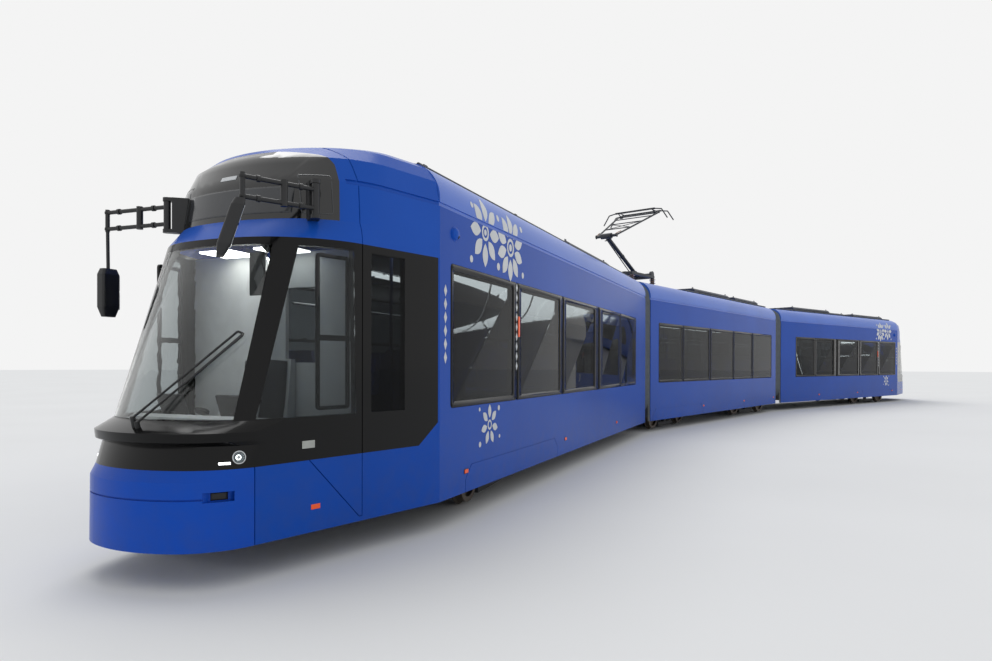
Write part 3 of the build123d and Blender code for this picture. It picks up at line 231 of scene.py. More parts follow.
def litLens(name, colour, shade, strength, cell=0.01):
    # clear moulded lens with prisms, over a lamp that is on
    material, tree, shader, place = startMaterial(name)
    prisms = addNode(tree, "ShaderNodeTexVoronoi", {"Vector": place, "Scale": 1 / cell})
    tone = addNode(tree, "ShaderNodeMix", {0: prisms, 6: linear(colour), 7: linear(shade)}, data_type="RGBA")
    facets = addNode(tree, "ShaderNodeBump", {"Height": prisms, "Strength": 0.3, "Distance": 0.002})
    setShader(tree, shader, Base_Color=tone.outputs[2], Normal=facets, Roughness=0.12,
              Emission_Color=linear(colour), Emission_Strength=strength)
    return material


# panel walls in gloss blue: even and deep, dusty at the skirt, pale lining on the inner face
sideBlue = {s: twoPackPaint(s + "SideBluePaint", "#104eb4", "#0f4aac", 0.26,
                            lining=(s, tram["halfWidth"] - 0.0135, 9.0, "#8d9092")) for s in sections}
# roof edge: the walls' blue painted paler and softer, a painted reflection of the sky; its ceiling is near
# white
roofBluePaintedSky = {s: twoPackPaint(s + "RoofBluePaint", "#3f70d6", "#3a6acc", 0.3, film=False, gloss=0.45,
                            lining=(s, tram["halfWidth"] - 0.05, rail + 2.6, "#c9cbcc")) for s in sections}
# glass-fibre hood: a shade brighter than the walls, with round soft reflections
hoodBlue = twoPackPaint("hoodBluePaint", "#1f5ac2", "#1c54b8", 0.26, film=False)
# bumper shell: saturated, a little rougher from washing brushes, dust low down
bumperBlue = twoPackPaint("bumperBluePaint", "#0f50c0", "#0e4cb6", 0.28)
# door leaves: the wall's blue one step darker, a painted shade so that they read as set in
doorBlueShaded = twoPackPaint("doorBluePaint", "#0e449e", "#0d4096", 0.28)
# black mask: piano gloss that shows the sky as pale sheets
maskBlack = twoPackPaint("maskBlackPaint", "#050506", "#070708", 0.16, film=False, gloss=0.2)
# enamelled glass edge: blacker and smoother than the frame behind it
enamelBlack = plainFinish("glassEdgeEnamel", "#060607", "#08080a", 0.14, 0.02, 0.0001, gloss=0.2)
# anodised frames: satin black that catches a thin light line
frameBlack = plainFinish("windowFrameAnodised", "#1a1b1d", "#141517", 0.4, 0.01, 0.0003, metallic=0.3)
# display glass: flat smoky black with a clear mirror
displayBlack = plainFinish("displayGlassBlack", "#101113", "#0c0d0e", 0.1, 0.4, 0.0001, coat=0.35)
# blank display behind its glass: dim grey with a fine dot grain
displayGrey = plainFinish("displayPanelGrey", "#2a2c30", "#33363a", 0.22, 0.012, 0.0004, coat=0.3)
# cast vinyl film: matt white, slightly grey against the paint
vinylWhite = plainFinish("vinylWhiteFilm", "#d3d6d8", "#cbced1", 0.35, 0.01, 0.0002, coat=0.3)
# powder-coated roof boxes: dull blue grey, weathered in patches
gearGrey = plainFinish("roofGearPaint", "#353b4a", "#2b303c", 0.55, 0.02, 0.001)
# fan mesh: near black, with a fine broken surface
grilleDark = plainFinish("grilleDarkMesh", "#191b1f", "#121417", 0.6, 0.006, 0.002)
# rolled steel: bright where it runs, brown rust film beside it
wheelTread = plainFinish("rolledSteelWheel", "#6a635c", "#57493d", 0.45, 0.01, 0.002, metallic=0.8)
# cast and welded frames: dark paint under brake dust, rough as castings are
bogiePaint = plainFinish("bogieIronPaint", "#23252a", "#2e2c2a", 0.6, 0.015, 0.003)
# painted springs and eyes: grey satin with worn edges
springSteel = plainFinish("springSteelPaint", "#3b3e43", "#2f3034", 0.45, 0.01, 0.001, metallic=0.4)
# coated bellows: mid grey, matt, with a cloth grain of 4 mm
bellowsGrey = plainFinish("bellowsCoatedRubber", "#6c7379", "#5f666c", 0.6, 0.004, 0.001)
# door and lamp seals: dull black with no mirror
sealRubber = plainFinish("sealRubber", "#0d0e10", "#121315", 0.5, 0.006, 0.0005)
# moulded plastic: grained black, grey at a low angle
mirrorShell = plainFinish("mirrorShellMoulding", "#141517", "#191a1d", 0.42, 0.006, 0.001)
# silvered glass: a clean bright mirror
mirrorFace = plainFinish("mirrorSilvering", "#d7dbde", "#d2d6d9", 0.03, 0.3, 0.0, metallic=1.0)
# pantograph tubes: grey paint, sooty in patches
armSteel = plainFinish("pantographPaint", "#33363b", "#424448", 0.45, 0.02, 0.001, metallic=0.5)
# collector carbon: soft black, rubbed along its length
carbonStrip = plainFinish("collectorCarbon", "#1b1b1d", "#242426", 0.5, 0.004, 0.0006)
# bare braid: brown copper with a woven grain
copperBraid = plainFinish("copperBraid", "#8a5a3c", "#6f4a33", 0.5, 0.003, 0.001, metallic=0.9)
# glazed ribs: brown with a wet shine
insulatorBrown = plainFinish("glazedInsulator", "#6f4434", "#7d4d3b", 0.2, 0.02, 0.0005, coat=0.8)
# moulded seats: blue plastic with a fine leathery grain
seatShell = plainFinish("seatShellMoulding", "#22386e", "#1d3060", 0.55, 0.006, 0.001)
# seat cloth: short blue pile in two tones, fully matt
seatMoquette = plainFinish("seatMoquetteWeave", "#2d4fa8", "#1d2d66", 0.9, 0.004, 0.0015)
# floor covering: flecked grey, matt underfoot
floorVinyl = plainFinish("floorVinylFlecked", "#54575c", "#3f4247", 0.6, 0.008, 0.0005)
# cab lining: pale and even, which makes the windscreen look bright
cabMoulding = plainFinish("cabMoulding", "#d2d5d6", "#c9cccd", 0.55, 0.005, 0.0008)
# driver's seat: dark napped cloth, no shine
driverCloth = plainFinish("driverSeatCloth", "#2e3136", "#24262a", 0.9, 0.003, 0.0002)
# stainless tubes: bright, brushed
railMetal = plainFinish("handrailSteel", "#b9bbbd", "#aeb0b2", 0.3, 0.01, 0.0003, metallic=0.9)
# cast plates: light satin grey
handleGrey = plainFinish("handlePlateCast", "#b7bab4", "#a9aca6", 0.4, 0.004, 0.0003)
# lamp bowls: bright silvering that fills the lens
reflectorBowl = plainFinish("lampReflector", "#c3c7ca", "#b3b7ba", 0.12, 0.02, 0.0002, metallic=1.0)
# saloon glass: dark grey tint that still shows seats and rails; a low IOR, as the photo has few reflections
sideGlass = floatGlass("saloonGlassGrey", "#4a4f52", 0.98, 1.17)
# cab glass: lighter tint than the saloon
cabGlass = floatGlass("cabGlassGrey", "#9aa0a2", 0.98, 1.25)
# windscreen: almost clear, with a faint reflection of the sky
clearGlass = floatGlass("windscreenGlass", "#f3f7f6", 1.0, 1.4)
# marker lenses: orange prisms, lit faintly
markerOrange = litLens("markerLensOrange", "#e0521a", "#c8400f", 0.3)
# headlamps: white and plainly lit
lampWhite = litLens("headlampLens", "#f4f7fa", "#e8eef4", 3.0)
# tail lamps: deep red prisms
tailRed = litLens("tailLensRed", "#b3161a", "#8f0e12", 0.6)
# ceiling panels: even light that opens up the cab and saloon
ceilingLight = litLens("ceilingDiffuser", "#f4f3ee", "#ebeae4", 7.0, 0.03)
slotMaterial = {
    "wheel_steel": wheelTread, "frame_grey": bogiePaint, "bellows_rubber": bellowsGrey,
    "tinted_glass": sideGlass, "door_blue": doorBlueShaded, "body_blue": hoodBlue, "mask_black": maskBlack,
    "gear_grey": gearGrey, "roof_blue": hoodBlue, "floor_grey": floorVinyl, "seat_shell": seatShell,
    "cab_grey": cabMoulding, "lamp_clear": reflectorBowl, "wiper_black": mirrorShell,
    "arm_steel": armSteel, "mirror_black": mirrorShell,
}
for row in frame["record"]["subparts"]:
    name = row["node"]
    material = slotMaterial[row["material_slot"]]
    section = name.split("_")[0]
    if "_side_" in name:
        material = sideBlue[section]
    elif name.endswith("_roof"):
        material = roofBluePaintedSky[section]
    elif "bumper" in name:
        material = bumperBlue
    nodes[name].data.materials.clear()
    nodes[name].data.materials.append(material)
print("CAD nodes painted")


# building and placing

def newMeshes(count):
    return [bmesh.new() for _ in range(count)]


def addObject(name, data):
    made = bpy.data.objects.new(name, data)
    bpy.context.scene.collection.objects.link(made)
    return made


def finishPiece(name, mesh, body, material, slot, place=None, smooth=35.0, solid=0.0, bevel=0.0):
    # turns a bmesh into a piece in the row frame that rides on a body; a section stands for its body
    if place is not None:
        mesh.transform(place)
        if place.determinant() < 0:
            bmesh.ops.reverse_faces(mesh, faces=mesh.faces)
    data = bpy.data.meshes.new(name)
    mesh.to_mesh(data)
    mesh.free()
    if smooth:
        data.shade_smooth()
        data.set_sharp_from_angle(angle=math.radians(smooth))
    data.materials.append(material)
    piece = addObject(name, data)
    if solid:
        wall = piece.modifiers.new("wall", "SOLIDIFY")
        wall.thickness = solid
        wall.offset = 0
    if bevel:
        edge = piece.modifiers.new("edge", "BEVEL")
        edge.width = bevel
        edge.segments = 2
    body = bodyOf.get(body, body)
    if body:
        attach(piece, body)
    return piece


def finishAll(prefix, body, place, *rows):
    # the pieces of one body: the end of its name, mesh, material, slot and any settings
    for name, mesh, material, slot, *settings in rows:
        finishPiece(prefix + name, mesh, body, material, slot, place, **dict(*settings))


def mergeInto(mesh, part):
    data = bpy.data.meshes.new("part")
    part.to_mesh(data)
    part.free()
    mesh.from_mesh(data)
    bpy.data.meshes.remove(data)


def addBlock(mesh, low, high):
    # a block between two corners
    made = bmesh.ops.create_cube(mesh, size=1.0)["verts"]
    bmesh.ops.scale(mesh, verts=made, vec=[b - a for a, b in zip(low, high)])
    bmesh.ops.translate(mesh, verts=made, vec=[(a + b) / 2 for a, b in zip(low, high)])
    return made


def addBox(mesh, middle, size):
    # a block round its middle
    return addBlock(mesh, *([m + s * way / 2 for m, s in zip(middle, size)] for way in (-1, 1)))


def addTube(mesh, start, end, radius, sides=12, endRadius=None):
    # a round bar between two points
    start, end = Vector(start), Vector(end)
    spin = (end - start).to_track_quat("Z", "Y").to_matrix().to_4x4()
    return bmesh.ops.create_cone(
        mesh, cap_ends=True, segments=sides, radius1=radius, radius2=endRadius or radius,
        depth=(end - start).length, matrix=Matrix.Translation((start + end) / 2) @ spin)["verts"]


def addDisc(mesh, centre, facing, radius, thickness, sides=24):
    half = Vector(facing).normalized() * thickness / 2
    return addTube(mesh, Vector(centre) - half, Vector(centre) + half, radius, sides)


def addBall(mesh, place, radius, squash=1, sides=16):
    # a ball, or a lens that is flatter in its own z
    return bmesh.ops.create_uvsphere(mesh, u_segments=sides, v_segments=sides // 2, radius=radius,
                                     matrix=place @ Matrix.Diagonal((1, 1, squash, 1)))["verts"]


def addSpot(mesh, place, radius, sides=24):
    # a flat disc in its own plane
    return bmesh.ops.create_circle(mesh, cap_ends=True, segments=sides, radius=radius, matrix=place)["verts"]


def addRing(mesh, place, radius, band, sides=40):
    # a flat ring, bridged between two circles
    loops = [bmesh.ops.create_circle(mesh, segments=sides, radius=r, matrix=place)["verts"]
             for r in (radius, radius - band)]
    bmesh.ops.bridge_loops(mesh, edges=list({edge for loop in loops for v in loop for edge in v.link_edges}))


def addLoop(mesh, low, high, corner, depth=0.0, segments=4):
    # outline of a rounded rectangle, whose corners come from the bevel operator
    before = set(mesh.edges)
    verts = [mesh.verts.new((u, v, depth)) for u, v in
             ((low[0], low[1]), (high[0], low[1]), (high[0], high[1]), (low[0], high[1]))]
    for first, second in zip(verts, verts[1:] + verts[:1]):
        mesh.edges.new((first, second))
    bmesh.ops.bevel(mesh, geom=verts, offset=corner, segments=segments, profile=0.5, affect="VERTICES",
                    material=-1)
    return [edge for edge in mesh.edges if edge not in before]


def addFrame(mesh, low, high, corner, border, depth=0.0, innerCorner=None):
    # flat frame between two rounded rectangles
    inner = max(corner - border, 0.006) if innerCorner is None else innerCorner
    outside = addLoop(mesh, low, high, corner, depth)
    inside = addLoop(mesh, [c + border for c in low], [c - border for c in high], inner, depth)
    bmesh.ops.bridge_loops(mesh, edges=outside + inside)


padShape = dict(rounding=0.07, shoulder=0.45, waist=0.03, channel=0.006, channelWidth=0.07)


def addPad(mesh, size, place, crown, cuts=4, channels=()):
    # padded panel: flat where it rests, crowned on top, its sides pulled in between rounded corners
    shape = padShape
    pad = bmesh.new()
    bmesh.ops.create_cube(pad, size=2.0)
    bmesh.ops.subdivide_edges(pad, edges=pad.edges[:], cuts=cuts, use_grid_fill=True)
    for vert in pad.verts:
        u, v, w = vert.co
        corner = 1 - shape["rounding"] * (u * v) ** 2
        dome = crown * (1 - u * u) * (1 - v * v)
        top = size[2] * (1 - shape["shoulder"] * max(abs(u), abs(v)) ** 6) + dome
        top -= sum(shape["channel"] * math.exp(-((v - c) / shape["channelWidth"]) ** 2) for c in channels)
        wide, deep = (1 - shape["waist"] * (1 - c * c) for c in (v, u))
        vert.co = (u * size[0] / 2 * corner * wide, v * size[1] / 2 * corner * deep, (w + 1) / 2 * top)
    pad.transform(place)
    mergeInto(mesh, pad)


def backrest(spot, way, lean):
    # place of a pad that stands up, faces along x and leans back
    return (Matrix.Translation(spot) @ turnBy(-lean * way, "Y")
            @ Matrix(((0, 0, way, 0), (0, -way, 0, 0), (1, 0, 0, 0), (0, 0, 0, 1))))


def wallAxes(along, side):
    # axes of a wall: along the tram, up, and out of the wall
    return Matrix(((along, 0, 0, 0), (0, 0, side, 0), (0, 1, 0, 0), (0, 0, 0, 1)))


def onSide(section, side):
    # places (setback, height, out of the wall) on a section's left or right wall
    return sections[section] @ moveTo(0, side * tram["halfWidth"]) @ wallAxes(-1, side)


def surfaceOf(*names):
    # search tree over the surfaces of some CAD nodes
    verts, faces = [], []
    for name in names:
        data = nodes[name].data
        first = len(verts)
        verts += [v.co.copy() for v in data.vertices]
        faces += [[first + i for i in p.vertices] for p in data.polygons]
    return BVHTree.FromPolygons(verts, faces)


def layOn(mesh, surface, direction, lift):
    # drops each point of a mesh, already in the row frame, on to a surface
    direction = Vector(direction).normalized()
    missed = 0
    for vert in mesh.verts:
        spot, normal, face, reach = surface.ray_cast(vert.co, direction)
        if spot is None:
            missed += 1
        else:
            outwards = normal if normal.dot(direction) < 0 else -normal
            vert.co = spot + outwards * lift
    if missed:
        print("points off the surface:", missed)


def nodeCopy(name, keep):
    # merged copy of a CAD node's mesh with only the loose parts whose middle passes a test
    mesh = bmesh.new()
    mesh.from_mesh(nodes[name].data)
    bmesh.ops.remove_doubles(mesh, verts=mesh.verts, dist=1e-5)
    left = set(mesh.verts)
    while left:
        part, edge = set(), [next(iter(left))]
        while edge:
            vert = edge.pop()
            if vert in part:
                continue
            part.add(vert)
            edge.extend(e.other_vert(vert) for e in vert.link_edges)
        left -= part
        if not keep(sum((v.co for v in part), Vector()) / len(part)):
            bmesh.ops.delete(mesh, geom=list(part), context="VERTS")
    return mesh


# windscreen and display, and saloon and cab panes, are one node each in CAD, but of different glass
paneSplit = dict(height=rail + 2.4, setback=1.45)


def isDisplay(end, middle):
    return middle.z >= paneSplit["height"]


def isCab(end, middle):
    return (sections[end].inverted() @ middle).x > -paneSplit["setback"]


for end in ends:
    for name, source, test, wanted, material, slot in (
            ("WindscreenPane", "_windscreen", isDisplay, False, clearGlass, "tinted_glass"),
            ("DisplayPane", "_windscreen", isDisplay, True, displayBlack, "mask_black"),
            ("SaloonPanes", "_glass", isCab, False, sideGlass, "tinted_glass"),
            ("CabPanes", "_glass", isCab, True, cabGlass, "tinted_glass")):
        panes = nodeCopy(end + source, lambda middle: test(end, middle) == wanted)
        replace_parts(finishPiece(end + name, panes, end, material, slot), end + source)
print("windscreens done")


# bellows: a coated fabric skin in round folds, shaped to the joint's present bend

bellowsShape = dict(half=1.123, bottom=0.398, top=3.224, corner=0.325, folds=9, depth=0.035, wall=0.006,
                    slack=0.004)


def makeBellows(end, towards):
    shape = bellowsShape
    yaw = tram[end + "Yaw"]
    pivotX = towards * tram["pivot"]
    middle = (shape["top"] + shape["bottom"]) / 2
    rise = (shape["top"] - shape["bottom"]) / 2
    gap = tram["halfGap"] - shape["slack"]
    reach = around(yaw, towards * gap)
    mesh = bmesh.new()
    loop = addLoop(mesh, (-shape["half"], -rise), (shape["half"], rise), shape["corner"], segments=8)
    mesh.transform(moveTo(0, 0, middle) @ Matrix(((0, 0, 1, 0), (1, 0, 0, 0), (0, 1, 0, 0), (0, 0, 0, 1))))
    verts = list(mesh.verts)
    steps = shape["folds"] * 4
    previous = Matrix.Identity(4)
    for step in range(steps + 1):
        t = step / steps
        # the centre line runs round the pivot from one end face to the other
        flat = Vector((-towards * gap, 0)) * (1 - t) ** 2 + Vector(reach) * t ** 2
        sunk = shape["depth"] * (0.5 - 0.5 * math.cos(math.pi * step / 2))
        now = (moveTo(pivotX + flat.x, flat.y, middle) @ turnBy(yaw * t)
               @ Matrix.Diagonal((1, 1 - sunk / shape["half"], 1 - sunk / rise, 1)) @ moveTo(0, 0, -middle))
        if step:
            made = bmesh.ops.extrude_edge_only(mesh, edges=loop)["geom"]
            verts = [g for g in made if isinstance(g, bmesh.types.BMVert)]
            edges = [g for g in made if isinstance(g, bmesh.types.BMEdge)]
            loop = [edge for edge in edges if all(v in verts for v in edge.verts)]
        bmesh.ops.transform(mesh, matrix=now @ previous.inverted(), verts=verts)
        previous = now
    bmesh.ops.recalc_face_normals(mesh, faces=mesh.faces)
    piece = finishPiece(end + "BellowsSkin", mesh, None, bellowsGrey, "bellows_rubber", smooth=60,
                        solid=shape["wall"])
    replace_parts(piece, end + "_bellows")
    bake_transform(piece)


makeBellows("front", 1)
makeBellows("rear", -1)
print("bellows done")


# side windows: bonded panes with a black enamelled edge, dark frames behind and tilting lights on top

paneRow = dict(
    inset=0.003, corner=0.04, opening=0.06, enamelOut=0.0005, frame=0.022, frameOut=-0.028, bar=1.70,
    barHalf=0.0175, barOut=(-0.045, -0.014), lightFrom=1.0, grip=(0.1, 0.012, 0.02),
)
paneEdges = {
    "end": {1: [2.507, 4.154, 5.8485, 7.727, 9.29, 10.64],
            -1: [2.507, 4.154, 5.742, None, 7.954, 9.29, 10.64]},
    "middle": {1: [0.73, 2.05, 3.73, 5.43, 6.99, 8.8], -1: [0.73, 2.05, 3.26, None, 6.3, 7.55, 8.8]},
}
paneStops = {
    # where the clear opening of a pane stops, beside a broad pillar: place along, reach of the pillar
    "end": {4.154: 0.14, 5.8485: 0.1665, 7.727: 0.287, 9.29: 0.08},
    "middle": {3.73: 0.11, 5.43: 0.08, 6.99: 0.1},
}


def makeWindows(section, side):
    size, stops = paneRow, paneStops[kindOf[section]]
    inset, opening, corner, bar = (size[key] for key in ("inset", "opening", "corner", "bar"))
    bottom, top = tram["windowBottom"], tram["windowTop"]
    enamel, frames, bars = newMeshes(3)
    edges = paneEdges[kindOf[section]][side]
    for near, far in zip(edges, edges[1:]):
        if near is None or far is None:
            continue
        first = near + max(opening, stops.get(near, 0.0))
        last = far - max(opening, stops.get(far, 0.0))
        clear = (first, bottom + opening), (last, top - opening)
        outline = (near + inset, bottom + inset), (far - inset, top - inset)
        loops = [addLoop(enamel, *corners, corner, size["enamelOut"]) for corners in (outline, clear)]
        bmesh.ops.bridge_loops(enamel, edges=loops[0] + loops[1])
        addFrame(frames, *clear, corner, size["frame"], size["frameOut"])
        if last - first > size["lightFrom"]:
            addBlock(bars, (first + 0.01, bar - size["barHalf"], size["barOut"][0]),
                     (last - 0.01, bar + size["barHalf"], size["barOut"][1]))
            addBox(bars, ((first + last) / 2, bar + 0.026, -0.04), size["grip"])
    finishAll(section + sideNames[side], section, onSide(section, side),
              ("GlassEnamel", enamel, enamelBlack, "mask_black", dict(solid=0.001)),
              ("WindowFrames", frames, frameBlack, "mask_black", dict(solid=0.03)),
              ("WindowBars", bars, frameBlack, "mask_black", dict(bevel=0.003)))


for section in sections:
    for side in sideNames:
        makeWindows(section, side)
print("windows done")


# double doors: rubber round each leaf, a push button, a bar inside and a pale edge strip

doorRow = dict(bottom=0.29, top=2.36, gap=0.006, seal=0.014, sealOut=0.0008, frame=0.09, glassBottom=0.56,
               barHeight=1.25, barOut=-0.07, button=(0.045, 1.18))
doorPlaces = {"front": [(6.06, 7.36)], "rear": [(6.06, 7.36)], "middle": [(3.37, 4.67), (4.89, 6.19)]}


def makeDoors(section):
    size = doorRow
    gap, bottom, top, rim, seal, lift, height, out = (size[key] for key in (
        "gap", "bottom", "top", "frame", "seal", "sealOut", "barHeight", "barOut"))
    seals, buttons, rims, nosing, bars = newMeshes(5)
    for near, far in doorPlaces[section]:
        middle = (near + far) / 2
        for low, high in ((near + gap, middle - gap / 2), (middle + gap / 2, far - gap)):
            addFrame(seals, (low, bottom + gap), (high, top - gap), 0.004, seal, lift, 0.002)
            addFrame(seals, (low + rim, size["glassBottom"]), (high - rim, top - rim), 0.04, 0.012, lift)
            addBlock(nosing, (low + 0.02, bottom + 0.012, 0.0), (high - 0.02, bottom + 0.04, 0.0015))
            addTube(bars, (low + 0.05, height, out), (high - 0.05, height, out), 0.014)
            for post in (low + 0.07, high - 0.07):
                addTube(bars, (post, height, out + 0.03), (post, height, out), 0.011)
        button = (middle + size["button"][0], size["button"][1], 0.0)
        addDisc(rims, button, zAxis, 0.03, 0.004)
        addDisc(buttons, button, zAxis, 0.021, 0.006)
    finishAll(section, section, onSide(section, -1),
              ("DoorSeals", seals, sealRubber, "mask_black", dict(solid=0.0014)),
              ("DoorButtons", buttons, markerOrange, "lamp_clear", dict(bevel=0.001)),
              ("DoorButtonRims", rims, railMetal, "arm_steel", dict(bevel=0.0015)),
              ("DoorNosing", nosing, railMetal, "arm_steel"),
              ("DoorBars", bars, railMetal, "arm_steel"))


for section in sections:
    makeDoors(section)
print("doors done")


# side marker lamps, pillar indicator and camera housing

sideLamps = dict(
    markers={"end": [2.84, 6.0, 9.0], "middle": [3.32, 6.3, 9.02]}, height=0.42, lens=(0.0375, 0.0175),
    rim=0.006, proud={"end": 0.01, "middle": 0.003}, indicator=(4.21, 1.75, 1.98), camera=(2.593, 2.638),
    cameraRadius=0.062, sunk=-0.004,
)


def makeSideLamps(section, side):
    size, kind = sideLamps, kindOf[section]
    half, rise = size["lens"]
    rim, height, sunk, proud = size["rim"], size["height"], size["sunk"], size["proud"][kind]
    lenses, bases, shell, eye = newMeshes(4)
    for along in size["markers"][kind]:
        addBlock(bases, (along - half - rim, height - rise - rim, sunk),
                 (along + half + rim, height + rise + rim, proud / 2))
        addBlock(lenses, (along - half, height - rise, sunk), (along + half, height + rise, proud))
    if kind == "end":
        along, low, high = size["indicator"]
        addBlock(bases, (along - 0.026, low - 0.008, 0.0), (along + 0.026, high + 0.008, 0.004))
        addBlock(lenses, (along - 0.02, low, 0.002), (along + 0.02, high, 0.013))
    name, place = section + sideNames[side], onSide(section, side)
    finishAll(name, section, place,
              ("MarkerBases", bases, sealRubber, "mask_black", dict(bevel=0.001)),
              ("MarkerLenses", lenses, markerOrange, "lamp_clear", dict(bevel=0.003)))
    if kind == "end":
        along, height = size["camera"]
        radius = size["cameraRadius"]
        addBall(shell, moveTo(along, height), radius, 0.62, 24)
        bmesh.ops.bisect_plane(shell, geom=shell.verts[:] + shell.edges[:] + shell.faces[:], dist=1e-5,
                               plane_co=(0, 0, sunk), plane_no=(0, 0, -1), clear_outer=True)
        addDisc(shell, (along, height, 0.001), zAxis, radius + 0.008, 0.006, 32)
        addDisc(eye, (along + 0.02, height - 0.03, 0.03), (0.45, -0.5, 1), 0.014, 0.016, 20)
        finishAll(name, section, place,
                  ("CameraShell", shell, hoodBlue, "body_blue", dict(bevel=0.0015)),
                  ("CameraEye", eye, displayBlack, "mask_black"))


for section in sections:
    for side in sideNames:
        makeSideLamps(section, side)
print("side lamps done")


# white vinyl pattern on the left side: rings, dots, petals and a chain of lozenges

whitePattern = dict(
    # rosettes: place, petals, inner and outer reach; rings: place, radius, band; dots: place, radius;
    # chains: place along, low, high, lozenges, half height
    lift=0.0018, film=0.001, under=2.832, over=2.879, liftAbove=0.0014, petalWidth=0.56, lozengeWidth=0.55,
    rosettes=[(3.28, 2.77, 8, 0.11, 0.35), (3.96, 2.72, 10, 0.13, 0.37), (3.40, 0.82, 7, 0.07, 0.21)],
    rings=[(3.28, 2.77, 0.085, 0.03), (3.96, 2.72, 0.10, 0.032), (3.40, 0.82, 0.052, 0.02)],
    dots=[(3.62, 2.47, 0.04), (3.62, 2.98, 0.035), (4.30, 2.98, 0.035), (2.98, 2.99, 0.03),
          (4.34, 2.46, 0.035), (2.95, 2.46, 0.035), (3.28, 2.77, 0.032), (3.96, 2.72, 0.04),
          (3.16, 0.64, 0.028), (3.64, 0.98, 0.028), (3.66, 0.68, 0.02), (3.15, 0.99, 0.02)],
    chains=[(4.154, 1.42, 2.30, 9, 0.05), (2.405, 1.50, 2.10, 6, 0.055)],
)


def addPetal(mesh, place, length):
    # leaf outline: a disc drawn out to points at its two ends
    made = addSpot(mesh, Matrix.Identity(4), length / 2, 20)
    for vert in made:
        vert.co.y *= whitePattern["petalWidth"] * max(0.0, 1 - (2 * vert.co.x / length) ** 2) ** 0.5
    bmesh.ops.transform(mesh, matrix=place, verts=made)


def clipped(mesh, height, way):
    # the part of a flat pattern below a height, or above it with the way turned round
    part = mesh.copy()
    bmesh.ops.bisect_plane(part, geom=part.verts[:] + part.edges[:] + part.faces[:], dist=1e-6,
                           plane_co=(0, height, 0), plane_no=(0, way, 0), clear_outer=True)
    return part


def makePattern(section):
    shape, place = whitePattern, onSide(section, 1)
    flat = bmesh.new()
    for along, height, count, inner, outer in shape["rosettes"]:
        for step in range(count):
            turn = turnBy(360 / count * step + 90)
            addPetal(flat, moveTo(along, height) @ turn @ moveTo((inner + outer) / 2, 0), outer - inner)
    for along, height, radius, band in shape["rings"]:
        addRing(flat, moveTo(along, height), radius, band)
    for along, height, radius in shape["dots"]:
        addSpot(flat, moveTo(along, height), radius)
    for along, low, high, count, half in shape["chains"]:
        for height in spread(low, high, count):
            addSpot(flat, moveTo(along, height) @ Matrix.Diagonal((shape["lozengeWidth"], 1, 1, 1)), half, 4)
    lower, upper = clipped(flat, shape["under"], 1), clipped(flat, shape["over"], -1)
    flat.free()
    finishPiece(section + "Pattern", lower, section, vinylWhite, "body_blue",
                place @ moveTo(0, 0, shape["lift"]), smooth=0, solid=shape["film"])
    bmesh.ops.triangulate(upper, faces=upper.faces)
    bmesh.ops.subdivide_edges(upper, edges=[e for e in upper.edges if e.calc_length() > 0.04], cuts=2)
    bmesh.ops.triangulate(upper, faces=upper.faces)
    upper.transform(place @ moveTo(0, 0, 0.3))
    layOn(upper, surfaceOf(section + "_roof"), sections[section].to_3x3() @ -yAxis, shape["liftAbove"])
    finishPiece(section + "PatternAbove", upper, section, vinylWhite, "body_blue", smooth=0,
                solid=shape["film"])


for end in ends:
    makePattern(end)
print("pattern done")


# nose: lamps, lenses, plates and trim laid on the curved skin

noseTrim = dict(
    # the lamp's turn is from straight ahead; lens and bulb lie a little inside its bowl's rim
    lamp=(0.42, 0.641, 0.82), lampRadius=0.037, lampFlat=0.28, lampTurn=58.0, lampTilt=7.0, lampIn=0.006,
    bulbRadius=0.0165, bulbIn=0.018, antenna=(2.72, 0.5, 3.355),
)
nosePlates = [
    # piece, its middle, width and height, turn from straight ahead, lift, material or none for the lamp's
    # own, slot, its thickness and edge, how it is laid; those straight ahead come once
    ("DaylightStrips", (0.345, 0.588, 0.785), (0.075, 0.016), 50, 0.003, None, "lamp_clear", 0.004, 0.001),
    ("NoseMarkers", (0.947, 1.0, 0.402), (0.08, 0.036), 75, 0.002, markerOrange, "lamp_clear", 0.004, 0.001),
    # painted shade: a flat black sheet on the bumper stands for its dark recess
    ("BumperRecess", (0.30, 0.583, 0.5725), (0.105, 0.05), 40, 0.002, sealRubber, "mask_black", 0.002, 0),
    ("StepPlates", (0.89, 0.92, 0.86), (0.11, 0.055), 70, 0.003, handleGrey, "lamp_clear", 0.005, 0.0015),
    ("HatchLines", (1.20, 0.66, 2.735), (0.21, 0.31), 66, 0.001, displayGrey, "mask_black", 0.0015, 0,
     dict(ring=0.008)),
    ("DomeMarker", (0.98, -0.08, 2.93), (0.16, 0.04), 0, 0.0025, vinylWhite, "lamp_clear", 0.004, 0.001,
     dict(tilt=20)),
    ("DisplayPanel", (0.95, 0.0, 2.69), (1.05, 0.21), 0, 0.0012, displayGrey, "mask_black", 0.001, 0,
     dict(cuts=14)),
]
noseSkin = ("nose_mask", "nose_hood", "nose_bumper", "windscreen", "lamps", "side_left", "side_right")


def facing(end, turn, tilt=0.0):
    # outward direction on an end section, turned from straight ahead towards the left
    level, rise = around(tilt)
    return sections[end].to_3x3() @ Vector((*around(turn, level), rise))


def lookAlong(spot, outwards):
    # matrix of a plate's own axes: across, up and out of the skin
    outwards = outwards.normalized()
    across = zAxis.cross(outwards).normalized()
    axes = Matrix((across, outwards.cross(across), outwards)).transposed().to_4x4()
    return Matrix.Translation(spot) @ axes


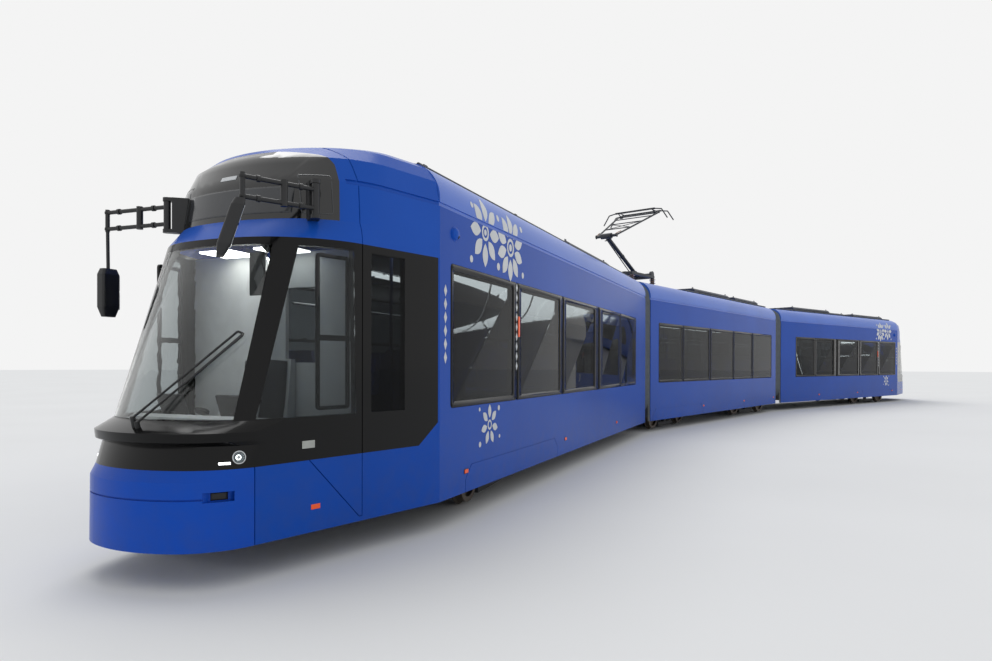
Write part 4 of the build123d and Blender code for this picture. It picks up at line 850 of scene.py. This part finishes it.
def layPlate(mesh, end, surface, middle, size, turn, lift, cuts=6, tilt=0.0, ring=0.0):
    # a rectangle, or a frame round one, laid on the nose
    patch = bmesh.new()
    if ring:
        addFrame(patch, [-s / 2 for s in size], [s / 2 for s in size], 0.02, ring)
        bmesh.ops.subdivide_edges(patch, edges=[e for e in patch.edges if e.calc_length() > 0.05], cuts=cuts)
    else:
        bmesh.ops.create_grid(patch, x_segments=cuts, y_segments=cuts, size=0.5)
        bmesh.ops.scale(patch, verts=patch.verts, vec=(*size, 1))
    outwards = facing(end, turn, tilt)
    patch.transform(lookAlong(sections[end] @ middle + outwards * 0.4, outwards))
    layOn(patch, surface, -outwards, lift)
    mergeInto(mesh, patch)


def makeNose(end):
    trim = noseTrim
    skin = surfaceOf(*(end + "_" + part for part in noseSkin))
    lamp = lampWhite if end == "front" else tailRed
    glass, bulbs, box, base = newMeshes(4)
    for side in sideNames:
        outwards = facing(end, trim["lampTurn"] * side, trim["lampTilt"])
        along, aside, height = trim["lamp"]
        spot = sections[end] @ back(along, aside * side, height)
        lens = lookAlong(spot - outwards * trim["lampIn"], outwards)
        addBall(glass, lens, trim["lampRadius"], trim["lampFlat"], 24)
        addDisc(bulbs, spot - outwards * trim["bulbIn"], outwards, trim["bulbRadius"], 0.004)
    finishAll(end, end, None, ("LampLenses", glass, clearGlass, "lamp_clear"),
              ("LampBulbs", bulbs, lamp, "lamp_clear"))
    for name, (along, aside, height), size, turn, lift, material, slot, solid, bevel, *laid in nosePlates:
        plate = bmesh.new()
        for side in sideNames if turn else (1,):
            spot = back(along, aside * side, height)
            layPlate(plate, end, skin, spot, size, turn * side, lift, **dict(*laid))
        finishPiece(end + name, plate, end, material or lamp, slot, solid=solid, bevel=bevel)
    antenna = back(*trim["antenna"])
    whip = back(trim["antenna"][0] + 0.35, -0.35, trim["antenna"][2])
    addBox(box, antenna + zAxis * 0.01, (0.14, 0.12, 0.08))
    addBox(base, antenna - zAxis * 0.0625, (0.20, 0.18, 0.075))
    addTube(base, whip - zAxis * 0.06, whip + zAxis * 0.16, 0.012, endRadius=0.005)
    addDisc(base, whip - zAxis * 0.04, zAxis, 0.06, 0.05)
    finishAll(end, end, sections[end], ("AntennaBox", box, mirrorShell, "mirror_black", dict(bevel=0.02)),
              ("AntennaBase", base, gearGrey, "gear_grey", dict(bevel=0.004)))


for end in ends:
    makeNose(end)
print("noses done")


# cab: desk panel with a round dial, driver's controls, sun visor, window frame and cushion

cabFit = dict(
    dial=(0.86, -0.14, 1.075), dialRadius=0.055, screens=[(0.84, 0.18, 1.12), (0.84, -0.42, 1.12)],
    lever=(0.93, 0.33, 1.05), visor=(0.86, 0.40, 2.10), windowSpan=(1.02, 1.32, 1.10, 2.26),
    seat=(1.215, 0, 0.888), seatSize=(0.27, 0.46, 0.045), seatTip=-4, rest=(1.394, 0, 1.20),
    restSize=(0.56, 0.44, 0.05), restLean=6.65, channels=(-0.55, 0.55), cuts=11,
)


def makeCab(end):
    fit, place = cabFit, sections[end]
    dark, face, steel, visor, cushion, lights = newMeshes(6)
    dial, lever, shade, seat, rest = (back(*fit[key]) for key in ("dial", "lever", "visor", "seat", "rest"))
    tipped = (-0.5, 0, 1)
    addDisc(dark, dial, tipped, fit["dialRadius"], 0.03, 32)
    addDisc(face, dial + Vector((-0.008, 0, 0.016)), tipped, fit["dialRadius"] - 0.008, 0.002, 32)
    for screen in fit["screens"]:
        spot = back(*screen)
        made = addBox(dark, (0, 0, 0), (0.024, 0.26, 0.18))
        bmesh.ops.transform(dark, matrix=Matrix.Translation(spot) @ turnBy(20, "Y"), verts=made)
        addTube(dark, spot - zAxis * 0.12, spot - zAxis * 0.05, 0.02)
    addTube(steel, lever - zAxis * 0.02, lever + Vector((-0.02, 0, 0.09)), 0.009)
    addBall(dark, Matrix.Translation(lever + Vector((-0.022, 0, 0.105))), 0.024)
    for aside in spread(-0.16, -0.34, 5):
        addDisc(steel, lever + Vector((0.03, aside, 0.015)), zAxis, 0.011, 0.014, 16)
    addBox(visor, shade, (0.02, 0.14, 0.32))
    flat = Matrix.Translation(seat) @ turnBy(fit["seatTip"], "Y")
    addPad(cushion, fit["seatSize"], flat, 0.022, fit["cuts"], fit["channels"])
    addPad(cushion, fit["restSize"], backrest(rest, 1, fit["restLean"]), 0.018, fit["cuts"], fit["channels"])
    for aside in (-0.28, 0.28):
        addBox(lights, (-1.27, aside, 2.3425), (0.30, 0.32, 0.015))
    finishAll(end, end, place,
              ("CabLights", lights, ceilingLight, "lamp_clear", dict(bevel=0.004)),
              ("DeskUnits", dark, mirrorShell, "wiper_black", dict(bevel=0.004)),
              ("DialFace", face, handleGrey, "cab_grey"),
              ("DeskControls", steel, railMetal, "arm_steel", dict(bevel=0.002)),
              ("SunVisor", visor, mirrorShell, "wiper_black", dict(bevel=0.008)))
    pads = finishPiece(end + "DriverPads", cushion, end, driverCloth, "seat_shell", place, smooth=70)
    # the side windows stand in the tapered wall, where setbacks are longer along the wall
    near, far, low, high = fit["windowSpan"]
    slope = math.cos(math.radians(tram["taperAngle"]))
    first, last = ((tram["taperLength"] - setback) / slope for setback in (far, near))
    for side, name in sideNames.items():
        frames = bmesh.new()
        addFrame(frames, (first, low), (last, high), 0.03, 0.028, -0.03)
        addBlock(frames, (first + 0.01, 1.62, -0.045), (last - 0.01, 1.65, -0.016))
        wall = (place @ moveTo(-tram["taperLength"], tram["halfWidth"] * side)
                @ turnBy(-tram["taperAngle"] * side) @ wallAxes(1, side))
        finishPiece(end + name + "CabWindowFrame", frames, end, frameBlack, "mask_black", wall, solid=0.02)


for end in ends:
    makeCab(end)
print("cabs done")


# saloon: light strips, grab rails over the seats, hanging loops and padded seats

saloonFit = dict(span={"end": (2.4, 11.5), "middle": (0.45, 9.11)}, lamps=6, lampOut=0.52, lampWidth=0.18,
                 railHeight=2.05, railOut=0.62, ceiling=2.5, loopDrop=0.14, padWidth=0.366)
seatRows = {
    # place along, height of its floor, way that it faces
    "end": [(8.80, 0.70, -1), (8.00, 0.70, 1), (7.20, 0.70, -1), (6.45, 0.70, 1), (5.35, 0.36, -1),
            (4.30, 0.36, 1), (3.00, 0.36, -1), (1.90, 0.36, 1)],
    "middle": [(3.95, 0.70, -1), (3.10, 0.70, 1), (2.15, 0.70, -1), (1.0, 0.36, 1), (-0.3, 0.36, -1),
               (-2.15, 0.70, 1), (-3.10, 0.70, -1), (-3.95, 0.70, 1)],
}
seatAsides = (0.475, 0.865, -0.875)


def makeSaloon(section):
    fit, place, kind = saloonFit, sections[section], kindOf[section]
    low, high = fit["span"][kind]
    ceiling, height = fit["ceiling"], fit["railHeight"]
    lights, rails, loops, pads = newMeshes(4)
    pitch = (high - low) / fit["lamps"]
    for side in (1, -1):
        out = fit["railOut"] * side
        for step in range(fit["lamps"]):
            drop = -low - pitch * (step + 0.5)
            lamp = (drop, fit["lampOut"] * side, ceiling - 0.01)
            addBox(lights, lamp, (pitch - 0.1, fit["lampWidth"], 0.02))
            addTube(rails, (drop, out, height), (drop, out, ceiling), 0.012, 10)
            strap = drop - 0.3
            addTube(loops, (strap, out, height - fit["loopDrop"]), (strap, out, height + 0.016), 0.010, 8)
        addTube(rails, (-low - 0.1, out, height), (-high + 0.1, out, height), 0.015, 12)
    for along, ground, way in seatRows[kind]:
        centre = along - pivotSetback[kind]
        first, last = sorted((centre + way * 0.215, centre - way * 0.275))
        byDoor = any(first <= -near and last >= -far for near, far in doorPlaces[section])
        for aside in seatAsides[:2] if byDoor else seatAsides:
            seat = moveTo(centre + way * 0.01, aside, ground + 0.429)
            rest = backrest((centre - way * 0.2065, aside, ground + 0.66), way, 7.5)
            addPad(pads, (0.37, fit["padWidth"], 0.022), seat, 0.008)
            addPad(pads, (0.38, fit["padWidth"], 0.02), rest, 0.008)
    finishAll(section, section, place,
              ("CeilingLights", lights, ceilingLight, "lamp_clear", dict(bevel=0.004)),
              ("GrabRails", rails, railMetal, "arm_steel"), ("HangingLoops", loops, sealRubber, "arm_steel"))
    piece = finishPiece(section + "SeatPads", pads, section, seatMoquette, "seat_shell", place, smooth=70)


for section in sections:
    makeSaloon(section)
print("saloon done")


# roof equipment: grilles, fan guards, lifting eyes and cable ducts

gearUnits = {
    # each unit's start and end ahead of the pivot, half width and height above the roof edge
    "end": [(6.5, 9.1, 0.76, 0.12), (1.9, 4.5, 0.76, 0.15), (4.85, 6.1, 0.60, 0.11)],
    "middle": [(-1.4, 1.1, 0.76, 0.15), (-3.9, -1.9, 0.76, 0.15)],
}
gearFit = dict(fan=0.20, fanShare=0.48, guards=(0.21, 0.15, 0.09), guardBand=0.012, longUnit=2.2, inset=0.09,
               ductOut=0.86, ducts={"end": (0.45, 9.5), "middle": (-4.3, 2.0)})
eyeBars = [((-0.03, 0, -0.002), (-0.03, 0, 0.03)), ((0.03, 0, -0.002), (0.03, 0, 0.03)),
           ((-0.037, 0, 0.03), (0.037, 0, 0.03))]


def makeRoofGear(section):
    fit, kind, edge = gearFit, kindOf[section], tram["roofEdge"]
    grilles, rings, eyes, ducts = newMeshes(4)
    for low, high, half, height in gearUnits[kind]:
        top = edge + height
        fans = 3 if high - low > fit["longUnit"] else 2
        for side in (-1, 1):
            for step in range(fans):
                spot = Vector((low + (high - low) * (step + 0.5) / fans, side * half * fit["fanShare"], top))
                addDisc(grilles, spot + zAxis * 0.002, zAxis, fit["fan"], 0.004, 28)
                for radius in fit["guards"]:
                    addRing(rings, Matrix.Translation(spot + zAxis * 0.007), radius, fit["guardBand"], 28)
                for turn in range(0, 180, 45):
                    reach = Vector((*around(turn, fit["fan"]), 0))
                    addTube(eyes, spot + zAxis * 0.008 + reach, spot + zAxis * 0.008 - reach, 0.004, 6)
            for foot in (low + 0.08, high - 0.08):
                eye = Vector((foot, side * (half - fit["inset"]), top))
                for first, last in eyeBars:
                    addTube(eyes, eye + Vector(first), eye + Vector(last), 0.007, 8)
            for foot in spread(low + 0.1, high - 0.1, 8):
                bolt = (foot, side * (half + 0.002), tram["roofCrown"] + 0.018)
                addDisc(eyes, bolt, yAxis, 0.011, 0.008, 8)
    low, high = fit["ducts"][kind]
    for side in (-1, 1):
        out = side * fit["ductOut"]
        addTube(ducts, (low, out, edge + 0.012), (high, out, edge + 0.012), 0.022, 10)
        for clip in spread(low + 0.2, high - 0.2, 9):
            addBlock(ducts, (clip - 0.03, out - 0.04, edge - 0.045), (clip + 0.03, out + 0.04, edge + 0.008))
    finishAll(section, section, sections[section] @ moveTo(-pivotSetback[kind], 0),
              ("FanGrilles", grilles, grilleDark, "gear_grey"),
              ("FanRings", rings, gearGrey, "gear_grey", dict(solid=0.008)),
              ("LiftingEyes", eyes, springSteel, "gear_grey"), ("CableDucts", ducts, gearGrey, "gear_grey"))


for section in sections:
    makeRoofGear(section)
print("roof gear done")


# pantograph: ribbed insulators, raising springs, carbon strips, braids and pins

panFit = dict(
    pivot=(2.83, 3.6), knee=(4.33, 4.345), top=(2.78, 5.08), base=(3.31, 0.54, 0.38),
    sheds=5, shedPitch=0.042, shedRadii=(0.074, 0.062), springOut=0.17, springTurns=22,
    collars=[(0.06, 0.06), (0.5, 0.052), (0.93, 0.058)], braces=(0.35, 0.62, 0.86), braceRadius=0.012,
    kneeOut=0.238, topOut=0.538, stripSpacing=0.34, stripHalf=0.52, stripLift=0.07, holders=7,
)


def makePantograph():
    fit = panFit
    pivot, knee, top = (Vector((fit[k][0], 0, fit[k][1] + rail)) for k in ("pivot", "knee", "top"))
    sheds, base, springs, lower, upper, braid, strips, holders = newMeshes(8)
    middle, baseX, baseY = fit["base"]
    low = pivot.z - 0.05
    for side in (-1, 1):
        for way in (-1, 1):
            for step in range(fit["sheds"]):
                height = tram["roofEdge"] + rail + 0.055 + step * fit["shedPitch"]
                spot = (middle + way * baseX, side * baseY, height)
                addDisc(sheds, spot, zAxis, fit["shedRadii"][step % 2], 0.014, 24)
            addDisc(base, (middle + way * 0.5, side * baseY, low + 0.022), zAxis, 0.02, 0.016, 6)
        start = Vector((middle + 0.44, side * fit["springOut"], low))
        end = Vector((pivot.x + 0.16, side * fit["springOut"], low + 0.02))
        addTube(base, start, end, 0.012)
        for step in range(fit["springTurns"]):
            spot = start.lerp(end, (step + 2) / (fit["springTurns"] + 4))
            addDisc(springs, spot, end - start + zAxis * 0.03, 0.034, 0.010, 14)
        addBlock(base, start - Vector((0.03, 0.05, 0.05)), start + Vector((0.05, 0.05, 0.04)))
    for share, radius in fit["collars"]:
        addDisc(lower, pivot.lerp(knee, share), knee - pivot, radius, 0.06, 20)
    addTube(lower, pivot + Vector((0.02, -0.11, 0.0)), knee + Vector((-0.10, -0.11, 0.02)), 0.012)
    for share in (0.08, 0.9):
        spot = pivot.lerp(knee, share)
        addTube(lower, spot - yAxis * 0.125, spot, 0.012)
    tubes = [(knee + yAxis * side * fit["kneeOut"], top + yAxis * side * fit["topOut"]) for side in (-1, 1)]
    for share in fit["braces"]:
        addTube(upper, *(foot.lerp(head, share) for foot, head in tubes), fit["braceRadius"])
    near, far = fit["braces"][:2]
    for one, other in (tubes, tubes[::-1]):
        addTube(upper, one[0].lerp(one[1], near), other[0].lerp(other[1], far), 0.008, 8)
    beside = Vector((0.02, 0, 0.03))
    for side, (foot, head) in zip((-1, 1), tubes):
        addDisc(upper, knee + yAxis * side * 0.262, yAxis, 0.045, 0.006, 20)
        addDisc(upper, top + yAxis * side * 0.562, yAxis, 0.024, 0.004, 16)
        addTube(braid, foot + beside, foot.lerp(head, 0.12) + beside, 0.009, 8)
        strip = top + Vector((side * fit["stripSpacing"] / 2, 0, fit["stripLift"]))
        reach = fit["stripHalf"] - 0.03
        addBlock(strips, strip + Vector((-0.0205, -reach, 0.004)), strip + Vector((0.0205, reach, 0.0175)))
        for aside in spread(0.05 - reach, reach - 0.05, fit["holders"]):
            addBox(holders, strip + Vector((0, aside, -0.0085)), (0.048, 0.024, 0.021))
        rod = [top + Vector((way * 0.17, side * 0.42, fit["stripLift"])) for way in (-1, 1)]
        addTube(holders, *rod, 0.009, 10)
    finishAll("", "middle_section", None,
              ("insulatorSheds", sheds, insulatorBrown, "gear_grey", dict(bevel=0.003)),
              ("raisingSprings", springs, springSteel, "arm_steel", dict(bevel=0.002)),
              ("pantographFittings", base, armSteel, "arm_steel", dict(bevel=0.002)))
    finishPiece("lowerArmFittings", lower, "pantograph_lower_arm", armSteel, "arm_steel", bevel=0.002)
    finishPiece("upperArmBraces", upper, "pantograph_upper_arm", armSteel, "arm_steel")
    finishPiece("currentBraids", braid, "pantograph_upper_arm", copperBraid, "arm_steel")
    finishPiece("carbonStrips", strips, "pantograph_head", carbonStrip, "arm_steel", bevel=0.003)
    finishPiece("stripHolders", holders, "pantograph_head", armSteel, "arm_steel")


makePantograph()
print("pantograph done")


# mirrors: silvered glass, hinge collars and clamps

mirrorFit = {
    "left": dict(hinge=(1.08, 0.75, 2.665), outer=(0.57, 0.527, 2.665), top=(0.559, 0.515, 2.572),
                 foot=(0.470, 0.423, 2.173), face=(-0.7071, 0.7071), wide=0.12, deep=0.046),
    "right": dict(hinge=(1.08, -0.75, 2.665), outer=(1.05, -1.415, 2.665), top=(1.052, -1.408, 2.252),
                  foot=(1.052, -1.408, 1.840), face=(-1.0, 0.0), wide=0.066, deep=0.0825),
}


def makeMirror(side):
    fit = mirrorFit[side]
    hinge, outer, top, foot = (back(*fit[key]) for key in ("hinge", "outer", "top", "foot"))
    metal, rubber, glass = newMeshes(3)
    for rise in (-0.07, 0.07):
        low, high = hinge + zAxis * rise, outer + zAxis * rise
        for share in (0.22, 0.45, 0.8):
            addDisc(metal, low.lerp(high, share), high - low, 0.0245, 0.028, 16)
        addBall(rubber, Matrix.Translation(high), 0.024)
    face = Vector((*fit["face"], 0))
    aside = Vector((-face.y, face.x, 0))
    turn = Matrix((aside, (top - foot).normalized(), face)).transposed().to_4x4()
    for share, tall in ((0.28, 0.13), (0.66, 0.15)):
        place = Matrix.Translation(top.lerp(foot, share) + face * (fit["deep"] + 0.0012)) @ turn
        bmesh.ops.create_grid(glass, x_segments=6, y_segments=6, size=0.5,
                              matrix=place @ Matrix.Diagonal((fit["wide"], tall, 1, 1)))
    finishAll(side, "mirror_" + side, sections["front"],
              ("MirrorClamps", metal, mirrorShell, "mirror_black", dict(bevel=0.002)),
              ("MirrorCaps", rubber, sealRubber, "mirror_black"),
              ("MirrorGlass", glass, mirrorFace, "mirror_black", dict(solid=0.002)))


for side in mirrorFit:
    makeMirror(side)
print("mirrors done")


# bogies: coil springs, axle caps, brake discs and motors

bogieFit = dict(
    wheelbase=1.78, beam=0.49, axle=0.3, spring=(0.46, 0.61), coils=7, coilPitch=0.034, motor=0.42,
    capRadius=0.09, brakeOut=0.36, brakeRadius=0.17, rimOut=0.748, hubOut=0.794,
)
bogiePlaces = {
    # section, setback of the bogie's pivot, how far it is steered
    "front_bogie": ("front", 4.245, 6.7), "middle_front_bogie": ("middle", 1.87, 5.0),
    "middle_rear_bogie": ("middle", 7.69, -5.0), "rear_bogie": ("rear", 4.245, -5.5),
}


def makeBogie(name):
    fit = bogieFit
    section, along, turn = bogiePlaces[name]
    place = sections[section] @ moveTo(-along, 0)
    if place.determinant() < 0:
        place = place @ mirrored
    place = place @ turnBy(turn)
    coils, caps, motors = newMeshes(3)
    for way in (-1, 1):
        for side in (-1, 1):
            axle = Vector((way * fit["wheelbase"] / 2, side * fit["beam"], fit["axle"]))
            addDisc(caps, axle + yAxis * side * 0.068, yAxis, fit["capRadius"], 0.016, 28)
            for angle in range(0, 360, 60):
                addDisc(caps, axle + onWheel(angle, 0.07, side * 0.078), yAxis, 0.009, 0.008, 6)
            spring = Vector((way * fit["spring"][0], side * fit["spring"][1], 0))
            for step in range(fit["coils"]):
                coil = spring + zAxis * (0.20 + step * fit["coilPitch"])
                addDisc(coils, coil, (0.06, 0, 1), 0.048, 0.015, 18)
            for height, thick in ((0.445, 0.018), (0.185, 0.014)):
                addDisc(motors, spring + zAxis * height, zAxis, 0.055, thick, 20)
            addBox(motors, spring + Vector((0, side * -0.03, 0.441)), (0.08, 0.08, 0.022))
        addDisc(motors, (way * fit["motor"], 0, fit["axle"]), yAxis, 0.10, 0.6, 24)
        for aside in spread(-0.24, 0.24, 5):
            addDisc(motors, (way * fit["motor"], aside, fit["axle"]), yAxis, 0.115, 0.02, 24)
    finishAll(name, name, place,
              ("Springs", coils, springSteel, "frame_grey", dict(bevel=0.003)),
              ("AxleCaps", caps, bogiePaint, "frame_grey", dict(bevel=0.002)),
              ("Motors", motors, bogiePaint, "frame_grey", dict(bevel=0.003)))
    for way, half in ((1, "front"), (-1, "rear")):
        discs, bolts = newMeshes(2)
        for side in (-1, 1):
            out = side * fit["brakeOut"]
            for gap in (-0.014, 0.014):
                addDisc(discs, (0, out + gap, 0), yAxis, fit["brakeRadius"], 0.012, 40)
            for angle in range(0, 360, 30):
                addTube(discs, onWheel(angle, 0.07, out), onWheel(angle, 0.16, out), 0.008, 6)
                addDisc(bolts, onWheel(angle, 0.085, side * fit["hubOut"]), yAxis, 0.008, 0.004, 6)
                addDisc(bolts, onWheel(angle, 0.18, side * fit["rimOut"]), yAxis, 0.012, 0.012, 8)
        wheelset = name + "_" + half + "_wheelset"
        finishAll(wheelset, wheelset, place @ moveTo(way * fit["wheelbase"] / 2, 0, fit["axle"]),
                  ("Discs", discs, wheelTread, "wheel_steel"), ("Bolts", bolts, springSteel, "wheel_steel"))


for name in bogiePlaces:
    makeBogie(name)
print("bogies done")


# camera, light, floor

cameraView = dict(place=(18.294, 7.801, 1.470), heading=218.17, pitch=-0.25, roll=-0.14, lens=25.28,
                  shift=0.0367)
studio = dict(floorRadius=160.0, floorDrop=0.0005, skyLight=0.75, sun=1.1, sunAngle=40,
              sunFrom=(-0.35, -0.45, 1.0))


def makeCamera():
    view = cameraView
    heading, pitch, roll = (math.radians(view[k]) for k in ("heading", "pitch", "roll"))
    level = math.cos(pitch)
    ahead = Vector((math.cos(heading) * level, math.sin(heading) * level, math.sin(pitch)))
    right = Vector((math.sin(heading), -math.cos(heading), 0))
    up = right.cross(ahead)
    rolledRight = right * math.cos(roll) - up * math.sin(roll)
    rolledUp = right * math.sin(roll) + up * math.cos(roll)
    turn = Matrix((rolledRight, rolledUp, -ahead)).transposed().to_4x4()
    data = bpy.data.cameras.new("camera")
    data.lens = view["lens"]
    data.sensor_width = 36.0
    data.shift_y = view["shift"]
    data.clip_start, data.clip_end = 0.1, 500.0
    camera = addObject("camera", data)
    camera.matrix_world = Matrix.Translation(view["place"]) @ turn
    bpy.context.scene.camera = camera


def makeFloor():
    mesh = bmesh.new()
    bmesh.ops.create_circle(mesh, cap_ends=True, segments=96, radius=studio["floorRadius"])
    material, tree, shader, place = startMaterial("studioFloor")
    setShader(tree, shader, Base_Color=patchy(tree, place, 4.0, 0.3, 0.7, "#eeeeee", "#ebebeb"),
              Roughness=1.0, Specular_IOR_Level=0.0)
    data = bpy.data.meshes.new("floor")
    mesh.to_mesh(data)
    mesh.free()
    data.materials.append(material)
    floor = addObject("floor", data)
    floor.location.z = -studio["floorDrop"]


def makeLight():
    world = bpy.data.worlds.new("overcastSky")
    bpy.context.scene.world = world
    world.use_nodes = True
    tree = world.node_tree
    tree.nodes.clear()
    skyLight, skySeen = (
        addNode(tree, "ShaderNodeBackground", {"Color": linear(colour), "Strength": strength})
        for colour, strength in (("#e8eaec", studio["skyLight"]), ("#f4f4f4", 1.0)))
    # the pale sky is for rays from the camera, or by way of metal and glass
    path = addNode(tree, "ShaderNodeLightPath").outputs
    seen = path["Is Camera Ray"]
    for other in ("Is Glossy Ray", "Is Transmission Ray"):
        seen = addNode(tree, "ShaderNodeMath", {0: seen, 1: path[other]}, operation="MAXIMUM")
    mix = addNode(tree, "ShaderNodeMixShader", {0: seen, 1: skyLight, 2: skySeen})
    addNode(tree, "ShaderNodeOutputWorld", {"Surface": mix})
    data = bpy.data.lights.new("softSun", "SUN")
    data.energy = studio["sun"]
    data.angle = math.radians(studio["sunAngle"])
    sun = addObject("softSun", data)
    sun.rotation_euler = Vector(studio["sunFrom"]).to_track_quat("Z", "Y").to_euler()


makeCamera()
makeFloor()
makeLight()
bpy.context.scene.view_settings.view_transform = "Standard"
print("camera, floor and light done")
